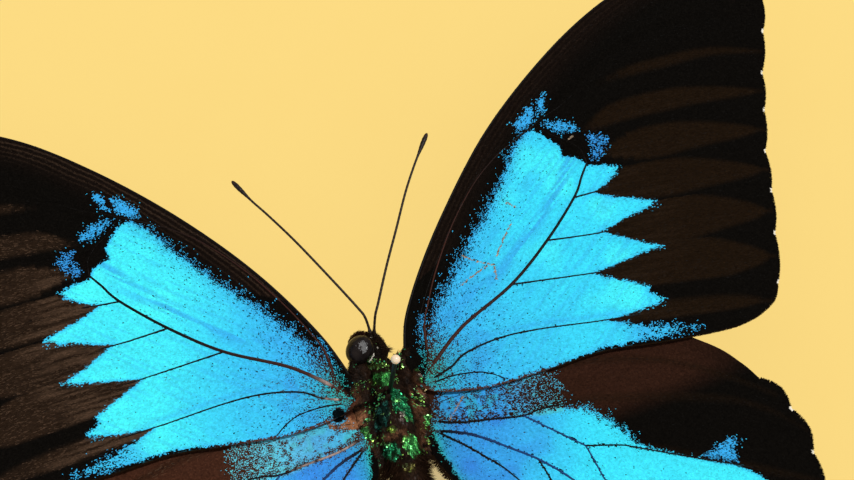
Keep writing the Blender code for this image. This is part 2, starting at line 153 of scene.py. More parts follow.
# ---- Blue fields: corner points, each with the softness of the edge that starts there ----
FORE_BLUE = [
    (5.5, 0.9, 0.5), (6.0, 3.4, 0.5), (6.8, 6.0, 0.5), (8.6, 8.7, 0.45), (10.2, 10.5, 0.42),
    (12.3, 12.9, 0.4), (14.7, 15.6, 0.4), (17.0, 18.0, 0.4), (19.4, 20.9, 0.35), (21.6, 23.7, 0.3),
    (23.4, 26.2, 0.25), (25.0, 27.6, 0.15), (26.6, 27.9, 0.1), (27.5, 27.0, 0.1),
    (28.5, 25.8, 0.08), (29.2, 25.0, 0.08),
    (29.1, 23.6, 0.08), (30.2, 23.3, 0.08), (31.4, 22.5, 0.05), (31.8, 21.6, 0.06),
    (33.8, 21.3, 0.12), (36.0, 20.65, 0.2), (35.0, 19.65, 0.1), (33.4, 18.6, 0.05), (31.6, 17.85, 0.04),
    (32.4, 17.4, 0.06), (34.1, 16.75, 0.07), (36.4, 16.0, 0.12), (39.3, 15.0, 0.2), (37.4, 14.3, 0.1),
    (35.0, 13.8, 0.06), (33.0, 13.1, 0.05), (31.0, 12.6, 0.04),
    (32.2, 12.0, 0.06), (34.1, 10.9, 0.09), (36.2, 9.95, 0.12), (38.2, 9.15, 0.2), (36.9, 8.95, 0.1),
    (34.9, 8.65, 0.06), (32.0, 8.1, 0.05), (28.6, 7.5, 0.04),
    (29.8, 6.8, 0.1), (32.5, 5.6, 0.12), (34.9, 4.3, 0.14), (34.6, 3.5, 0.14), (35.8, 2.8, 0.16),
    (36.6, 2.3, 0.2), (34.4, 1.7, 0.1), (31.6, 1.35, 0.06), (28.4, 1.2, 0.06),
    (30.0, 0.6, 0.14), (33.4, -0.5, 0.25), (39.8, -2.3, 0.3), (34.5, -2.55, 0.12), (27.0, -2.0, 0.1),
    (20.0, -2.8, 0.1), (13.0, -3.25, 0.1), (8.5, -2.8, 0.1), (5.7, -2.15, 0.12), (4.5, -0.9, 0.3),
]
FORE_SPOTS = [     # blue, share, corners
    ("AZURE", 0.92, [(29.3, 32.3), (28.1, 31.7), (27.6, 29.7), (28.6, 30.1)]),
    ("AZURE", 0.92, [(27.4, 31.2), (26.3, 30.9), (24.3, 29.1), (24.5, 28.1), (25.3, 28.1), (26.8, 28.9)]),
    ("AZURE", 0.75, [(28.7, 28.7), (27.6, 28.5), (29.4, 26.8), (31.3, 26.3), (32.2, 26.7), (31.4, 27.9)]),
    ("TEAL", 0.85, [(4.7, 0.9), (5.4, 0.9), (6.1, 3.6), (6.7, 7.6), (6.0, 7.8), (5.2, 4.2)]),
    ("VIOLET", 0.7, [(32.8, 25.7), (33.3, 24.6), (33.0, 23.4), (32.5, 22.3), (33.7, 22.2), (35.0, 23.6),
                      (35.6, 24.7), (34.6, 25.6)]),
]
SPOT_SOFTNESS = 0.16
SCRATCHES = [      # where the right forewing is rubbed, but for the short stroke at (30.5, 25.6): a painted glint on the vein at the cell's end
    [(13.3, 13.8), (14.4, 12.9), (15.4, 12.3), (16.7, 11.7)], [(12.1, 10.1), (14.0, 11.0), (15.9, 11.7)],
    [(30.5, 25.6), (31.1, 25.9)], [(16.8, 11.6), (16.6, 9.7)], [(17.4, 12.7), (18.9, 14.7), (20.4, 16.5)],
    [(20.6, 19.2), (21.6, 18.3)],
]
HIND_SCRATCH = [(8.7, -3.5), (6.4, -5.9)]
ROOT_PAD = [       # bare tawny skin at the root of the left wings
    (8.3, -2.6), (6.9, -3.2), (5.8, -2.8), (4.4, -2.0), (3.4, -3.0), (3.7, -4.0), (5.0, -4.3), (6.3, -4.2),
    (8.0, -3.5),
]
# painted shadow of the pin's head on the root of the left wings: its middle and radius
PIN_SHADOW_PLACE = (6.6, -2.25)
PIN_SHADOW_RADIUS = 0.78
HIND_MIDDLE = (20.0, -18.0)     # the crescents on the hindwing's underside face this point
CRESCENT_INSET = 4.6
CRESCENT_RADIUS = 2.0
HIND_BLUE = [
    (4.2, -5.2, 0.3), (7.0, -6.0, 0.4), (11.0, -6.8, 0.35), (15.0, -7.2, 0.3), (19.7, -7.9, 0.3),
    (22.5, -8.5, 0.4), (25.0, -10.5, 0.45), (26.6, -12.6, 0.4), (28.0, -14.7, 0.14), (31.6, -16.7, 0.08),
    (35.4, -18.5, 0.06), (38.4, -19.8, 0.06), (40.2, -21.1, 0.1), (41.5, -22.3, 0.12), (43.6, -25.6, 0.12),
    (40.4, -26.8, 0.1), (38.2, -27.6, 0.05), (37.8, -29.4, 0.1), (36.6, -31.4, 0.12), (33.6, -31.6, 0.1),
    (30.6, -32.0, 0.05), (30.6, -33.2, 0.1), (29.8, -35.2, 0.12), (27.2, -33.8, 0.1), (25.3, -32.6, 0.05),
    (25.0, -34.8, 0.1), (23.8, -36.8, 0.12), (21.6, -34.6, 0.1), (19.9, -32.2, 0.05), (19.4, -34.6, 0.1),
    (17.6, -36.4, 0.12), (16.0, -34.0, 0.1), (15.0, -31.6, 0.06), (13.2, -33.4, 0.2), (11.6, -33.0, 0.5),
    (9.4, -27.0, 0.5), (8.0, -21.0, 0.4), (6.8, -16.4, 0.25), (5.6, -12.9, 0.15), (4.4, -9.8, 0.12),
    (3.9, -7.4, 0.2),
]
INNER_EDGE = ((5, 10, 14, 20, 30), (3.6, 4.4, 5.8, 7.4, 9.5))    # -y, and x of the blue's inner edge there
HIND_SPOTS = [
    ("AZURE", 0.8, [(35.2, -17.9), (36.9, -17.2), (38.6, -16.5), (40.1, -16.9), (39.1, -18.1), (38.9, -19.6),
                    (37.2, -19.0)]),
]
HIND_DUSTED = [(5.4, -2.4), (7.0, -0.9), (10.0, -0.2), (14.5, 0.2), (18.4, -1.0), (20.9, -3.0), (21.8, -5.6),
               (20.0, -8.4), (13.0, -7.8), (5.0, -6.0), (4.2, -4.4)]

# ---- Scales ----
ROW_PITCH = 0.17                # along the lie of the scales
SCALE_PITCH = 0.13              # across it
SCALE_LENGTH = 0.31
SCALE_WIDTH = 0.185
UNDER_COARSER = 1.6             # the underside's scales are this much larger
HAIR_SCALE = (0.62, 0.075)      # length and width of the silky scales in the brown streaks
SCALE_LIFT = 0.014
SCALE_RISE = 0.025
BAKE_PATCH = 0.003
MEMBRANE = 0.07                 # thickness of the wing's membrane
MEMBRANE_GRID = 0.5
MEMBRANE_RIM = 0.35             # the share of the membrane's thickness that its rim keeps
VEIN_RIDGE = 0.11               # the membrane lifts this much along a vein
VEIN_RIDGE_WIDTH = 0.8
PLEAT = 0.12                    # and sags this much half-way between two
PLEAT_WIDTH = 2.2
VEIN_LIFT = 0.02
VEIN_SINK = 0.12                # a vein's root lies this much deeper
FINER = 0.72                    # the size of the scales in the speckled parts
SPECKLE_REACH = 1.3             # which reach this far from the front of the blue
SPECKLE_ROOT = 13.0             # and this far from the body
FRONT_CORNERS = 12              # corners of a blue field that make up its front
SCALE_BLADE = ((-0.5, -0.3), (0.42, -0.5), (0.42, 0.5), (-0.5, 0.3))    # corners in lengths and widths
FRINGE_BLADE = ((-0.35, -0.03), (0.35, -0.045), (1.0, -0.012), (1.0, 0.012), (0.35, 0.045), (-0.35, 0.03))
FRINGE_PITCH = 0.065
VEIN_CLEARANCE = 0.1            # no upper scale stands nearer to a vein's middle
FOLD_SHADE_PLACE = 2.3                # painted shade of a fold: a darker azure band runs this far above the cubitus
FOLD_SHADE_WIDTH = 0.8
COSTAL_LINES = 0.62             # from one fine brown line to the next along the leading edge
STREAK_START = 8.0              # a brown streak reaches its full width this far along its vein


# ---- Colours ----
def srgb(red, green, blue):
    """The scene-linear colour of 0 to 255 display values."""
    values = np.array((red, green, blue)) / 255
    return np.where(values <= 0.04045, values / 12.92, ((values + 0.055) / 1.055) ** 2.4)


CYAN = srgb(62, 227, 255)
PALE_CYAN = srgb(78, 255, 255)
AZURE = srgb(58, 172, 238)
VIOLET = srgb(58, 128, 226)
TEAL = srgb(48, 186, 158)
LEAF = srgb(96, 214, 110)
VELVET = srgb(12, 10, 8)
UMBER = srgb(30, 20, 11)
# the brown streaks of the left forewing, made lighter by painted sheen
SHEEN_UMBER = srgb(42, 30, 21)
RUSSET = srgb(34, 21, 16)
# painted sheen on the silky hair scales
HAIR_SHEEN = srgb(96, 74, 58)
SCAR = srgb(150, 132, 112)
WHITE = srgb(250, 244, 228)
SEPIA = srgb(70, 54, 42)
ASH = srgb(128, 118, 104)
RUST = srgb(150, 84, 44)
FOX = srgb(92, 54, 38)
# pale pink of painted glints: on the back, at the wing roots and on the veins
PAINTED_GLINT = srgb(236, 206, 196)
SEA_GREEN = srgb(112, 216, 226)
TAWNY = srgb(146, 98, 68)
# dark teal of the painted shadow of the pin's head
SHADOW_INK = srgb(5, 13, 16)
SLATE_BLUE = srgb(104, 140, 186)
VEIN_BROWN = srgb(60, 30, 22)
VEIN_DARK = srgb(11, 8, 7)
SPOT_BLUES = {"AZURE": AZURE, "VIOLET": VIOLET, "TEAL": TEAL}


# ---- Small tools ----
def to_model(points):
    return (np.asarray(points, float) + WING_ORIGIN) * MM


def smoothstep(low, high, values):
    t = np.clip((values - low) / (high - low), 0, 1)
    return t * t * (3 - 2 * t)


def mix(first, second, share):
    share = np.asarray(share)[..., None]
    return first * (1 - share) + second * share


def layered(colour, *layers):
    """A colour under further layers, each a colour and how much of it shows."""
    for layer, share in layers:
        colour = mix(colour, layer, share)
    return colour


def bell(distance, width):
    return np.exp(-(distance / width) ** 2)


def fade(distance, width):
    return np.exp(-np.clip(distance, 0, None) / width)


def soft_edge(depth, softness):
    """From 0 well outside an edge to 1 well inside it."""
    return 1 / (1 + np.exp(-np.clip(depth / softness, -30, 30)))


def unit(vectors):
    return vectors / np.maximum(np.linalg.norm(vectors, axis=-1, keepdims=True), 1e-9)


def smooth_line(points, steps):
    """A smooth (Catmull-Rom) curve through the given points."""
    points = np.asarray(points, float)
    padded = np.vstack([points[:1], points, points[-1:]])
    t = (np.arange(steps) / steps)[:, None]
    spans = [0.5 * (2 * here + (there - before) * t + (2 * before - 5 * here + 4 * there - after) * t ** 2
                    + (3 * here - before - 3 * there + after) * t ** 3)
             for before, here, there, after in zip(padded, padded[1:], padded[2:], padded[3:])]
    return np.vstack([*spans, points[-1:]])


def cloud(points, cell, seed):
    """Smooth noise from 0 to 1 with lumps about one cell across, at 2-D points."""
    table = np.random.default_rng(seed).random((64, 64))
    place = np.asarray(points)[:, :2] / cell + 1000
    whole = np.floor(place).astype(int)
    x, y = (place - whole).T
    x, y = x * x * (3 - 2 * x), y * y * (3 - 2 * y)
    i, j = whole.T % 64
    ii, jj = (i + 1) % 64, (j + 1) % 64
    near, far = table[i, j] * (1 - x) + table[ii, j] * x, table[i, jj] * (1 - x) + table[ii, jj] * x
    return near * (1 - y) + far * y


def nearest(points, starts, ends):
    """Each point's distance to the nearest of some segments, the foot on it and the segment's number."""
    best = np.full(len(points), np.inf)
    foot = np.zeros_like(points)
    which = np.zeros(len(points), int)
    for number, (start, end) in enumerate(zip(starts, ends)):
        along = end - start
        t = np.clip((points - start) @ along / (along @ along + 1e-12), 0, 1)
        place = start + t[:, None] * along
        away = ((points - place) ** 2).sum(axis=1)
        closer = away < best
        best[closer] = away[closer]
        foot[closer] = place[closer]
        which[closer] = number
    return np.sqrt(best), foot, which


def off_line(points, line):
    """Each point's distance to a line."""
    line = np.asarray(line)
    return nearest(points, line[:-1], line[1:])[0]


def inside(points, outline):
    """Which points lie inside a closed outline."""
    x, y = points.T
    odd = np.zeros(len(points), bool)
    for (x0, y0), (x1, y1) in zip(outline, np.roll(outline, -1, axis=0)):
        crosses = (y0 > y) != (y1 > y)
        odd ^= crosses & (x < (x1 - x0) * (y - y0) / (y1 - y0 + 1e-12) + x0)
    return odd


def streaks_along(points, heading, seed):
    """Noise from 0 to 1 in long thin streaks that run along a heading."""
    heading = unit(np.array(heading, float))
    ahead, aside = points @ heading, points @ (-heading[1], heading[0])
    return cloud(np.column_stack([ahead / 4.0, aside / 0.3]), 1.0, seed)


def depth_in(points, corners):
    """How deep each point lies in a closed shape (below 0 outside), and the number of the nearest side."""
    corners = np.asarray(corners, float)
    away, _, which = nearest(points, corners, np.roll(corners, -1, axis=0))
    return np.where(inside(points, corners), away, -away), which


def add_object(name, data):
    obj = bpy.data.objects.new(name, data)
    bpy.context.scene.collection.objects.link(obj)
    return obj


def run_along(line):
    """How far along a line each of its points lies."""
    return np.concatenate([[0], np.cumsum(np.linalg.norm(np.diff(line, axis=0), axis=1))])


def build(name, points, face_sets, material, smooth=True, colours=None, numbers=None, bake=None):
    """A mesh object from arrays: points in millimetres, faces by size, colours and numbers for each point."""
    mesh = bpy.data.meshes.new(name)
    corners = np.concatenate([faces.ravel() for faces in face_sets]).astype(np.int32)
    sizes = np.concatenate([np.full(len(faces), faces.shape[1]) for faces in face_sets])
    starts = np.concatenate([[0], np.cumsum(sizes)[:-1]]).astype(np.int32)
    mesh.vertices.add(len(points))
    mesh.vertices.foreach_set("co", to_model(points).astype(np.float32).ravel())
    mesh.loops.add(len(corners))
    mesh.loops.foreach_set("vertex_index", corners)
    mesh.polygons.add(len(sizes))
    mesh.polygons.foreach_set("loop_start", starts)
    mesh.update(calc_edges=True)
    mesh.polygons.foreach_set("use_smooth", np.full(len(sizes), smooth))
    if colours is not None:
        layer = mesh.color_attributes.new("Tint", "FLOAT_COLOR", "POINT")
        full = np.ones((len(points), 4), np.float32)
        full[:, :3] = colours
        layer.data.foreach_set("color", full.ravel())
    for key, values in (numbers or {}).items():
        layer = mesh.attributes.new(key, "FLOAT", "POINT")
        layer.data.foreach_set("value", np.asarray(values, np.float32))
    if bake is not None:
        layer = mesh.uv_layers.new(name="OFBake")
        layer.data.foreach_set("uv", bake[corners].astype(np.float32).ravel())
    mesh.materials.append(material)
    return add_object(name, mesh)


def blades(name, corners, tint, bake, material, slot, turned=False):
    """Many flat blades in one piece: corners and places for the bake as blade by corner, one tint a blade."""
    count, sides, _ = corners.shape
    faces = np.arange(count * sides).reshape(-1, sides)
    if turned:
        faces = faces[:, ::-1]
    piece = build(name, corners.reshape(-1, 3), [faces], material, False, np.repeat(tint, sides, axis=0),
                  bake=bake.reshape(-1, 2))
    return dress(piece, slot)


def dress(piece, slot, *nodes):
    """The piece rides on the specimen and stands for the nodes, which it hides. The slot is not used."""
    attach(piece, "root")
    if nodes:
        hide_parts(*nodes)
    return piece


def tube(path, radii, sides=8, flatten=1.0):
    """Points and faces of a closed tube along a path. flatten squeezes its height."""
    path = np.asarray(path, float)
    radii = np.broadcast_to(np.asarray(radii, float), len(path))
    along = unit(np.gradient(path, axis=0))
    up = np.tile((0.0, 0.0, 1.0), (len(path), 1))
    up[np.abs(along[:, 2]) > 0.9] = (0.0, 1.0, 0.0)
    side = unit(np.cross(along, up))
    up = np.cross(side, along)
    angle = 2 * np.pi * np.arange(sides) / sides
    ring = (side[:, None] * np.cos(angle)[:, None] + flatten * up[:, None] * np.sin(angle)[:, None])
    points = (path[:, None] + ring * radii[:, None, None]).reshape(-1, 3)
    i, j = np.meshgrid(np.arange(len(path) - 1), np.arange(sides), indexing="ij")
    here, beside = i * sides + j, i * sides + (j + 1) % sides
    walls = np.stack([here, beside, beside + sides, here + sides], axis=-1).reshape(-1, 4)
    last = (len(path) - 1) * sides
    caps = np.array([np.arange(sides)[::-1], last + np.arange(sides)])
    return points, [walls, caps]


def join(parts):
    """One set of points and faces from several."""
    points, by_size, shift = [], {}, 0
    for part_points, face_sets in parts:
        for faces in face_sets:
            by_size.setdefault(faces.shape[1], []).append(faces + shift)
        points.append(part_points)
        shift += len(part_points)
    return np.vstack(points), [np.vstack(sets) for sets in by_size.values()]


# ---- Materials ----
def new_material(name, **values):
    """A material whose Principled shader has the given socket values, its tree and the object coordinates."""
    material = bpy.data.materials.new(name)
    material.use_nodes = True
    tree = material.node_tree
    shader = tree.nodes["Principled BSDF"]
    for socket, value in values.items():
        shader.inputs[socket.replace("_", " ")].default_value = value
    return material, tree, shader, add_node(tree, "TexCoord").outputs["Object"]


def add_node(tree, kind, inputs=None, **properties):
    node = tree.nodes.new("ShaderNode" + kind)
    for key, value in properties.items():
        setattr(node, key, value)
    for key, value in (inputs or {}).items():
        if isinstance(value, bpy.types.NodeSocket):
            tree.links.new(value, node.inputs[key])
        else:
            node.inputs[key].default_value = value
    return node


def ramp(tree, factor, stops):
    """A colour ramp of (position, grey) or (position, colour) stops."""
    node = add_node(tree, "ValToRGB", {"Fac": factor})
    elements = node.color_ramp.elements
    while len(elements) < len(stops):
        elements.new(0.5)
    for element, (position, colour) in zip(elements, stops):
        element.position = position
        element.color = (*np.broadcast_to(colour, 3), 1.0)
    return node.outputs["Color"]


def roughen(tree, shader, noise, roughness, bump, strength):
    """Roughness between two values and a relief, both from the noise of the colour."""
    rough = ramp(tree, noise, [(0.3, roughness[0]), (0.7, roughness[1])])
    tree.links.new(rough, shader.inputs["Roughness"])
    if bump:
        relief = add_node(tree, "Bump", {"Height": noise, "Strength": strength, "Distance": bump})
        tree.links.new(relief.outputs["Normal"], shader.inputs["Normal"])


def tinted(name, scale, grain, roughness, bump=0.0, **values):
    """A material that takes its colour from the Tint attribute, broken up by a fine grain."""
    material, tree, shader, place = new_material(name, **values)
    tint = add_node(tree, "Attribute", attribute_name="Tint").outputs["Color"]
    noise = add_node(tree, "TexNoise", {"Vector": place, "Scale": scale, "Detail": 3.0, "Roughness": 0.6})
    shade = ramp(tree, noise.outputs["Fac"], [(0.25, 1 - grain), (0.75, 1 + grain)])
    blend = add_node(tree, "Mix", data_type="RGBA", blend_type="MULTIPLY")
    blend.inputs["Factor"].default_value = 1.0
    tree.links.new(tint, blend.inputs["A"])
    tree.links.new(shade, blend.inputs["B"])
    tree.links.new(blend.outputs["Result"], shader.inputs["Base Color"])
    roughen(tree, shader, noise.outputs["Fac"], roughness, bump, 0.6)
    return material


def facet_material():
    """The eye: glossy black-brown facets."""
    material, tree, shader, place = new_material("eye", Roughness=0.12, Specular_IOR_Level=0.08)
    cells = add_node(tree, "TexVoronoi", {"Vector": place, "Scale": 14000.0})
    cloudy = add_node(tree, "TexNoise", {"Vector": place, "Scale": 900.0, "Detail": 3.0})
    dark, light = srgb(3, 2, 2), srgb(11, 8, 7)
    colour = ramp(tree, cloudy.outputs["Fac"], [(0.35, dark), (0.75, light)])
    tree.links.new(colour, shader.inputs["Base Color"])
    dents = add_node(tree, "TexNoise", {"Vector": place, "Scale": 2600.0, "Detail": 1.0})
    uneven = add_node(tree, "Bump", {"Height": dents.outputs["Fac"], "Strength": 0.6, "Distance": 0.00012})
    relief = add_node(tree, "Bump", {"Height": cells.outputs["Distance"], "Strength": 0.15,
                                     "Distance": 0.00001, "Normal": uneven.outputs["Normal"]})
    relief.invert = True
    tree.links.new(relief.outputs["Normal"], shader.inputs["Normal"])
    return material


def mottled(name, colours, scale, roughness, bump=0.0, stretch=(1, 1, 1), **values):
    """A material of two or three colours in soft patches, with a matching relief."""
    material, tree, shader, place = new_material(name, **values)
    mapped = add_node(tree, "Mapping", {"Vector": place, "Scale": stretch}).outputs["Vector"]
    noise = add_node(tree, "TexNoise", {"Vector": mapped, "Scale": scale, "Detail": 5.0, "Roughness": 0.65})
    stops = list(zip(np.linspace(0.3, 0.7, len(colours)), colours))
    tree.links.new(ramp(tree, noise.outputs["Fac"], stops), shader.inputs["Base Color"])
    roughen(tree, shader, noise.outputs["Fac"], roughness, bump, 0.5)
    return material


SCALE_LOOK = tinted("wing_scales", 2500.0, 0.16, (0.5, 0.7), Specular_IOR_Level=0.005)
MEMBRANE_LOOK = tinted("wing_membrane", 1800.0, 0.3, (0.5, 0.75), 0.00002, Specular_IOR_Level=0.05)
VEIN_LOOK = tinted("wing_veins", 2200.0, 0.45, (0.4, 0.65), 0.00002, Specular_IOR_Level=0.1)
CUTICLE_LOOK = tinted("body_cuticle", 1500.0, 0.35, (0.35, 0.6), 0.00003, Specular_IOR_Level=0.15)
FUR_LOOK = tinted("body_fur", 1800.0, 0.3, (0.5, 0.7), Specular_IOR_Level=0.04)
GLITTER_LOOK = tinted("body_glitter", 2600.0, 0.4, (0.22, 0.42), Metallic=0.55, Specular_IOR_Level=0.6)
CHITIN_LOOK = tinted("chitin", 2500.0, 0.35, (0.35, 0.6), 0.00002, Specular_IOR_Level=0.2)
EYE_LOOK = facet_material()
STEEL_LOOK = mottled("pin_steel", [srgb(34, 33, 36), srgb(62, 61, 66)], 900.0, (0.22, 0.4),
                     stretch=(1, 1, 0.05), Metallic=1.0)
NYLON_LOOK = mottled("pin_head_nylon", [srgb(250, 232, 206), srgb(240, 206, 176)], 700.0, (0.22, 0.32),
                     bump=0.00001, Subsurface_Weight=0.2, Subsurface_Radius=(0.001, 0.0006, 0.0004),
                     Coat_Weight=0.3)
BLOCK_LOOK = mottled("block_paint", [srgb(246, 220, 150), srgb(250, 228, 166), srgb(240, 212, 142)], 160.0,
                     (0.6, 0.8), bump=0.0001, stretch=(0.25, 1, 1))


# ---- Wings ----
def lobed_line(notches, depth, steps=10):
    """A margin of shallow lobes that bulge outwards between the notches."""
    notches = np.asarray(notches, float)
    t = (np.arange(steps) / steps)[:, None]
    spans = []
    for start, end in zip(notches, notches[1:]):
        along = end - start
        outwards = np.array((-along[1], along[0])) / np.hypot(*along)
        spans.append(start + along * t + outwards * depth * np.sin(np.pi * t))
    return np.vstack([*spans, notches[-1:]])


def tail_line():
    """The spatula-shaped tail, from its front edge round its tip to its rear edge."""
    root, tip = np.array(TAIL_ROOT), np.array(TAIL_TIP)
    along = tip - root
    side = np.array((-along[1], along[0])) / np.hypot(*along)
    t = np.sin(np.pi / 2 * np.arange(1, TAIL_STEPS + 1) / (TAIL_STEPS + 1))
    width = TAIL_NECK + (TAIL_CLUB - TAIL_NECK) * smoothstep(0.3, 0.72, t)
    width *= np.sqrt(1 - (np.clip(t - 0.78, 0, None) / 0.22) ** 2)
    middle = root + along * t[:, None] - side * TAIL_BOW * np.sin(np.pi * t)[:, None]
    rear = middle - side * width[:, None]
    return np.vstack([middle + side * width[:, None], [tip], rear[::-1]])


def fore_outline(name):
    apex = smooth_line(FORE_COSTA_ROOT[name] + FORE_COSTA + FORE_NOTCHES[:1], 8)
    margin = lobed_line(FORE_NOTCHES, FORE_LOBE)
    corner = smooth_line([FORE_NOTCHES[-1]] + FORE_TORNUS + FORE_INNER, 6)
    return np.vstack([apex[:-1], margin[:-1], corner])


def hind_outline():
    front = smooth_line(HIND_COSTA + HIND_NOTCHES[:1], 8)
    margin = lobed_line(HIND_NOTCHES, HIND_LOBE)
    rear = lobed_line(HIND_REAR_NOTCHES, HIND_LOBE)
    inner = smooth_line([HIND_REAR_NOTCHES[-1]] + HIND_INNER, 6)
    return np.vstack([front[:-1], margin, tail_line(), rear[:-1], inner])


def fore_height(points):
    return CAMBER * np.sin(np.pi * np.clip(points[:, 0] / WING_REACH, 0, 1))


def hind_height(points):
    dip = ROOT_DIP * np.clip(1 - points[:, 0] / ROOT_DIP_WIDTH, 0, None) ** 2
    return fore_height(points) - HIND_DROP - dip


class Wing:
    """One wing's plan: its outline, veins and the height of its middle surface."""

    def __init__(self, side, outline, veins, notches, height, blue, spots):
        self.side = side
        self.outline = outline
        self.veins = veins
        self.notches = np.array(notches)
        self.height = height
        self.field, self.softness = np.array(blue)[:, :2], np.array(blue)[:, 2]
        self.front = self.field[:FRONT_CORNERS]
        self.hind = height is hind_height
        self.spots = spots
        lines = [smooth_line(course, 4) for course, _, _, _ in veins.values()]
        self.starts = np.vstack([line[:-1] for line in lines])
        self.ends = np.vstack([line[1:] for line in lines])
        streaks = [streak for _, _, _, streak in veins.values()]
        self.streaks = np.concatenate([streak * smoothstep(0.0, STREAK_START, run_along(line)[:-1])
                                       for line, streak in zip(lines, streaks)])

    def laid(self, points, z):
        """Points of the plan on this wing's side, with their heights."""
        return np.column_stack([self.side * points[:, 0], points[:, 1], z])

    def faced(self, face_sets):
        """Faces drawn for the right wing, turned over for the left one."""
        return [faces[:, ::-1] for faces in face_sets] if self.side < 0 else face_sets

    def unwrapped(self, points):
        """The plan scaled into the square of the bake."""
        low, high = self.outline.min(axis=0), self.outline.max(axis=0)
        return (points - low) * ((1 - 4 * BAKE_PATCH) / (high - low).max())

    def speckled(self, points):
        """Where the scales stand singly, and finer: near the root and along the front of the blue."""
        near_front = off_line(points, self.front) < SPECKLE_REACH
        near_root = points[:, 0] + 0.3 * np.abs(points[:, 1]) < SPECKLE_ROOT
        return near_front | near_root | self.hind & (depth_in(points, HIND_DUSTED)[0] > -0.3)

    def survey(self, points):
        """What the relief and the pattern need to know at each point."""
        vein, foot, which = nearest(points, self.starts, self.ends)
        edge = off_line(points, np.vstack([self.outline, self.outline[:1]]))
        return {"vein": vein, "away": unit(points - foot), "streak": self.streaks[which], "edge": edge}

    def lie(self, points):
        """The direction in which the scales lie: along the veins, outwards."""
        along = unit(self.ends - self.starts)
        middle = (self.starts + self.ends) / 2
        total = np.zeros_like(points)
        for place, heading in zip(middle, along):
            away = ((points - place) ** 2).sum(axis=1)
            total += heading / (away + 0.4)[:, None] ** 1.6
        return unit(total)

    def surface(self, points, facts):
        """Height of the middle surface, with its ridges and pleats, and its slope."""
        ridge = VEIN_RIDGE * bell(facts["vein"], VEIN_RIDGE_WIDTH)
        sag = PLEAT * (1 - bell(facts["vein"], PLEAT_WIDTH))
        calm = smoothstep(0.0, 1.0, facts["edge"])
        steep = (-2 * facts["vein"] / VEIN_RIDGE_WIDTH ** 2 * ridge
                 - 2 * facts["vein"] / PLEAT_WIDTH ** 2 * (PLEAT - sag))
        slope = facts["away"] * (steep * calm)[:, None]
        step = np.array((0.05, 0.0))
        slope[:, 0] += (self.height(points + step) - self.height(points - step)) / 0.1
        return self.height(points) + (ridge - sag) * calm, slope


def blue_field(wing, points, clumps):
    """The share of blue scales at each point, their colour in the spots, and the depth in the blue field."""
    depth, side = depth_in(points, wing.field)
    softness = wing.softness[side]
    share = soft_edge(depth + (clumps - 0.5) * softness * 3.2, softness * 0.75)
    hue = np.tile(CYAN, (len(points), 1))
    for colour, most, corners in wing.spots:
        spot, _ = depth_in(points, corners)
        share = np.maximum(share, most * soft_edge(spot + (clumps - 0.5) * 0.5, SPOT_SOFTNESS))
        hue = mix(hue, SPOT_BLUES[colour], smoothstep(-0.8, 0.0, spot))
    return share, hue, depth


def streak_share(facts):
    """The brown streaks along the veins: lens-shaped, ending short of the margin."""
    reach = np.clip((facts["edge"] - 1.2) / 11.0, 0, 1) ** 0.62 * 1.12
    half = facts["streak"] * reach
    return smoothstep(-0.55, 0.35, half - facts["vein"]) * smoothstep(0.05, 0.7, facts["streak"])


def rub(points, share, ground, lines):
    """Share of blue and ground colour once the scales are rubbed off along some lines."""
    for line in lines:
        rubbed = smoothstep(0.12, 0.05, off_line(points, line))
        share = share * (1 - 0.85 * rubbed)
        ground = mix(ground, SCAR, rubbed)
    return share, ground


def root_pad(wing, points, share, ground):
    """The same with the bare tawny skin and the painted shadow of the pin's head, a dark teal disc, at the
    root of the left wings.
    """
    if wing.side > 0:
        return share, ground
    bare = smoothstep(-0.15, 0.25, depth_in(points, ROOT_PAD)[0] + 0.5 * cloud(points, 0.5, 61) - 0.25)
    # painted shadow of the pin's head: no blue scales and a dark teal ground inside the disc
    pin_shadow = smoothstep(PIN_SHADOW_RADIUS + 0.1, PIN_SHADOW_RADIUS - 0.1, np.hypot(*(points - PIN_SHADOW_PLACE).T))
    share = share * (1 - 0.9 * bare) * (1 - pin_shadow)
    ground = mix(ground, mix(FOX, TAWNY, smoothstep(0.3, 0.7, cloud(points, 0.7, 62))), bare)
    return share, mix(ground, SHADOW_INK, pin_shadow)


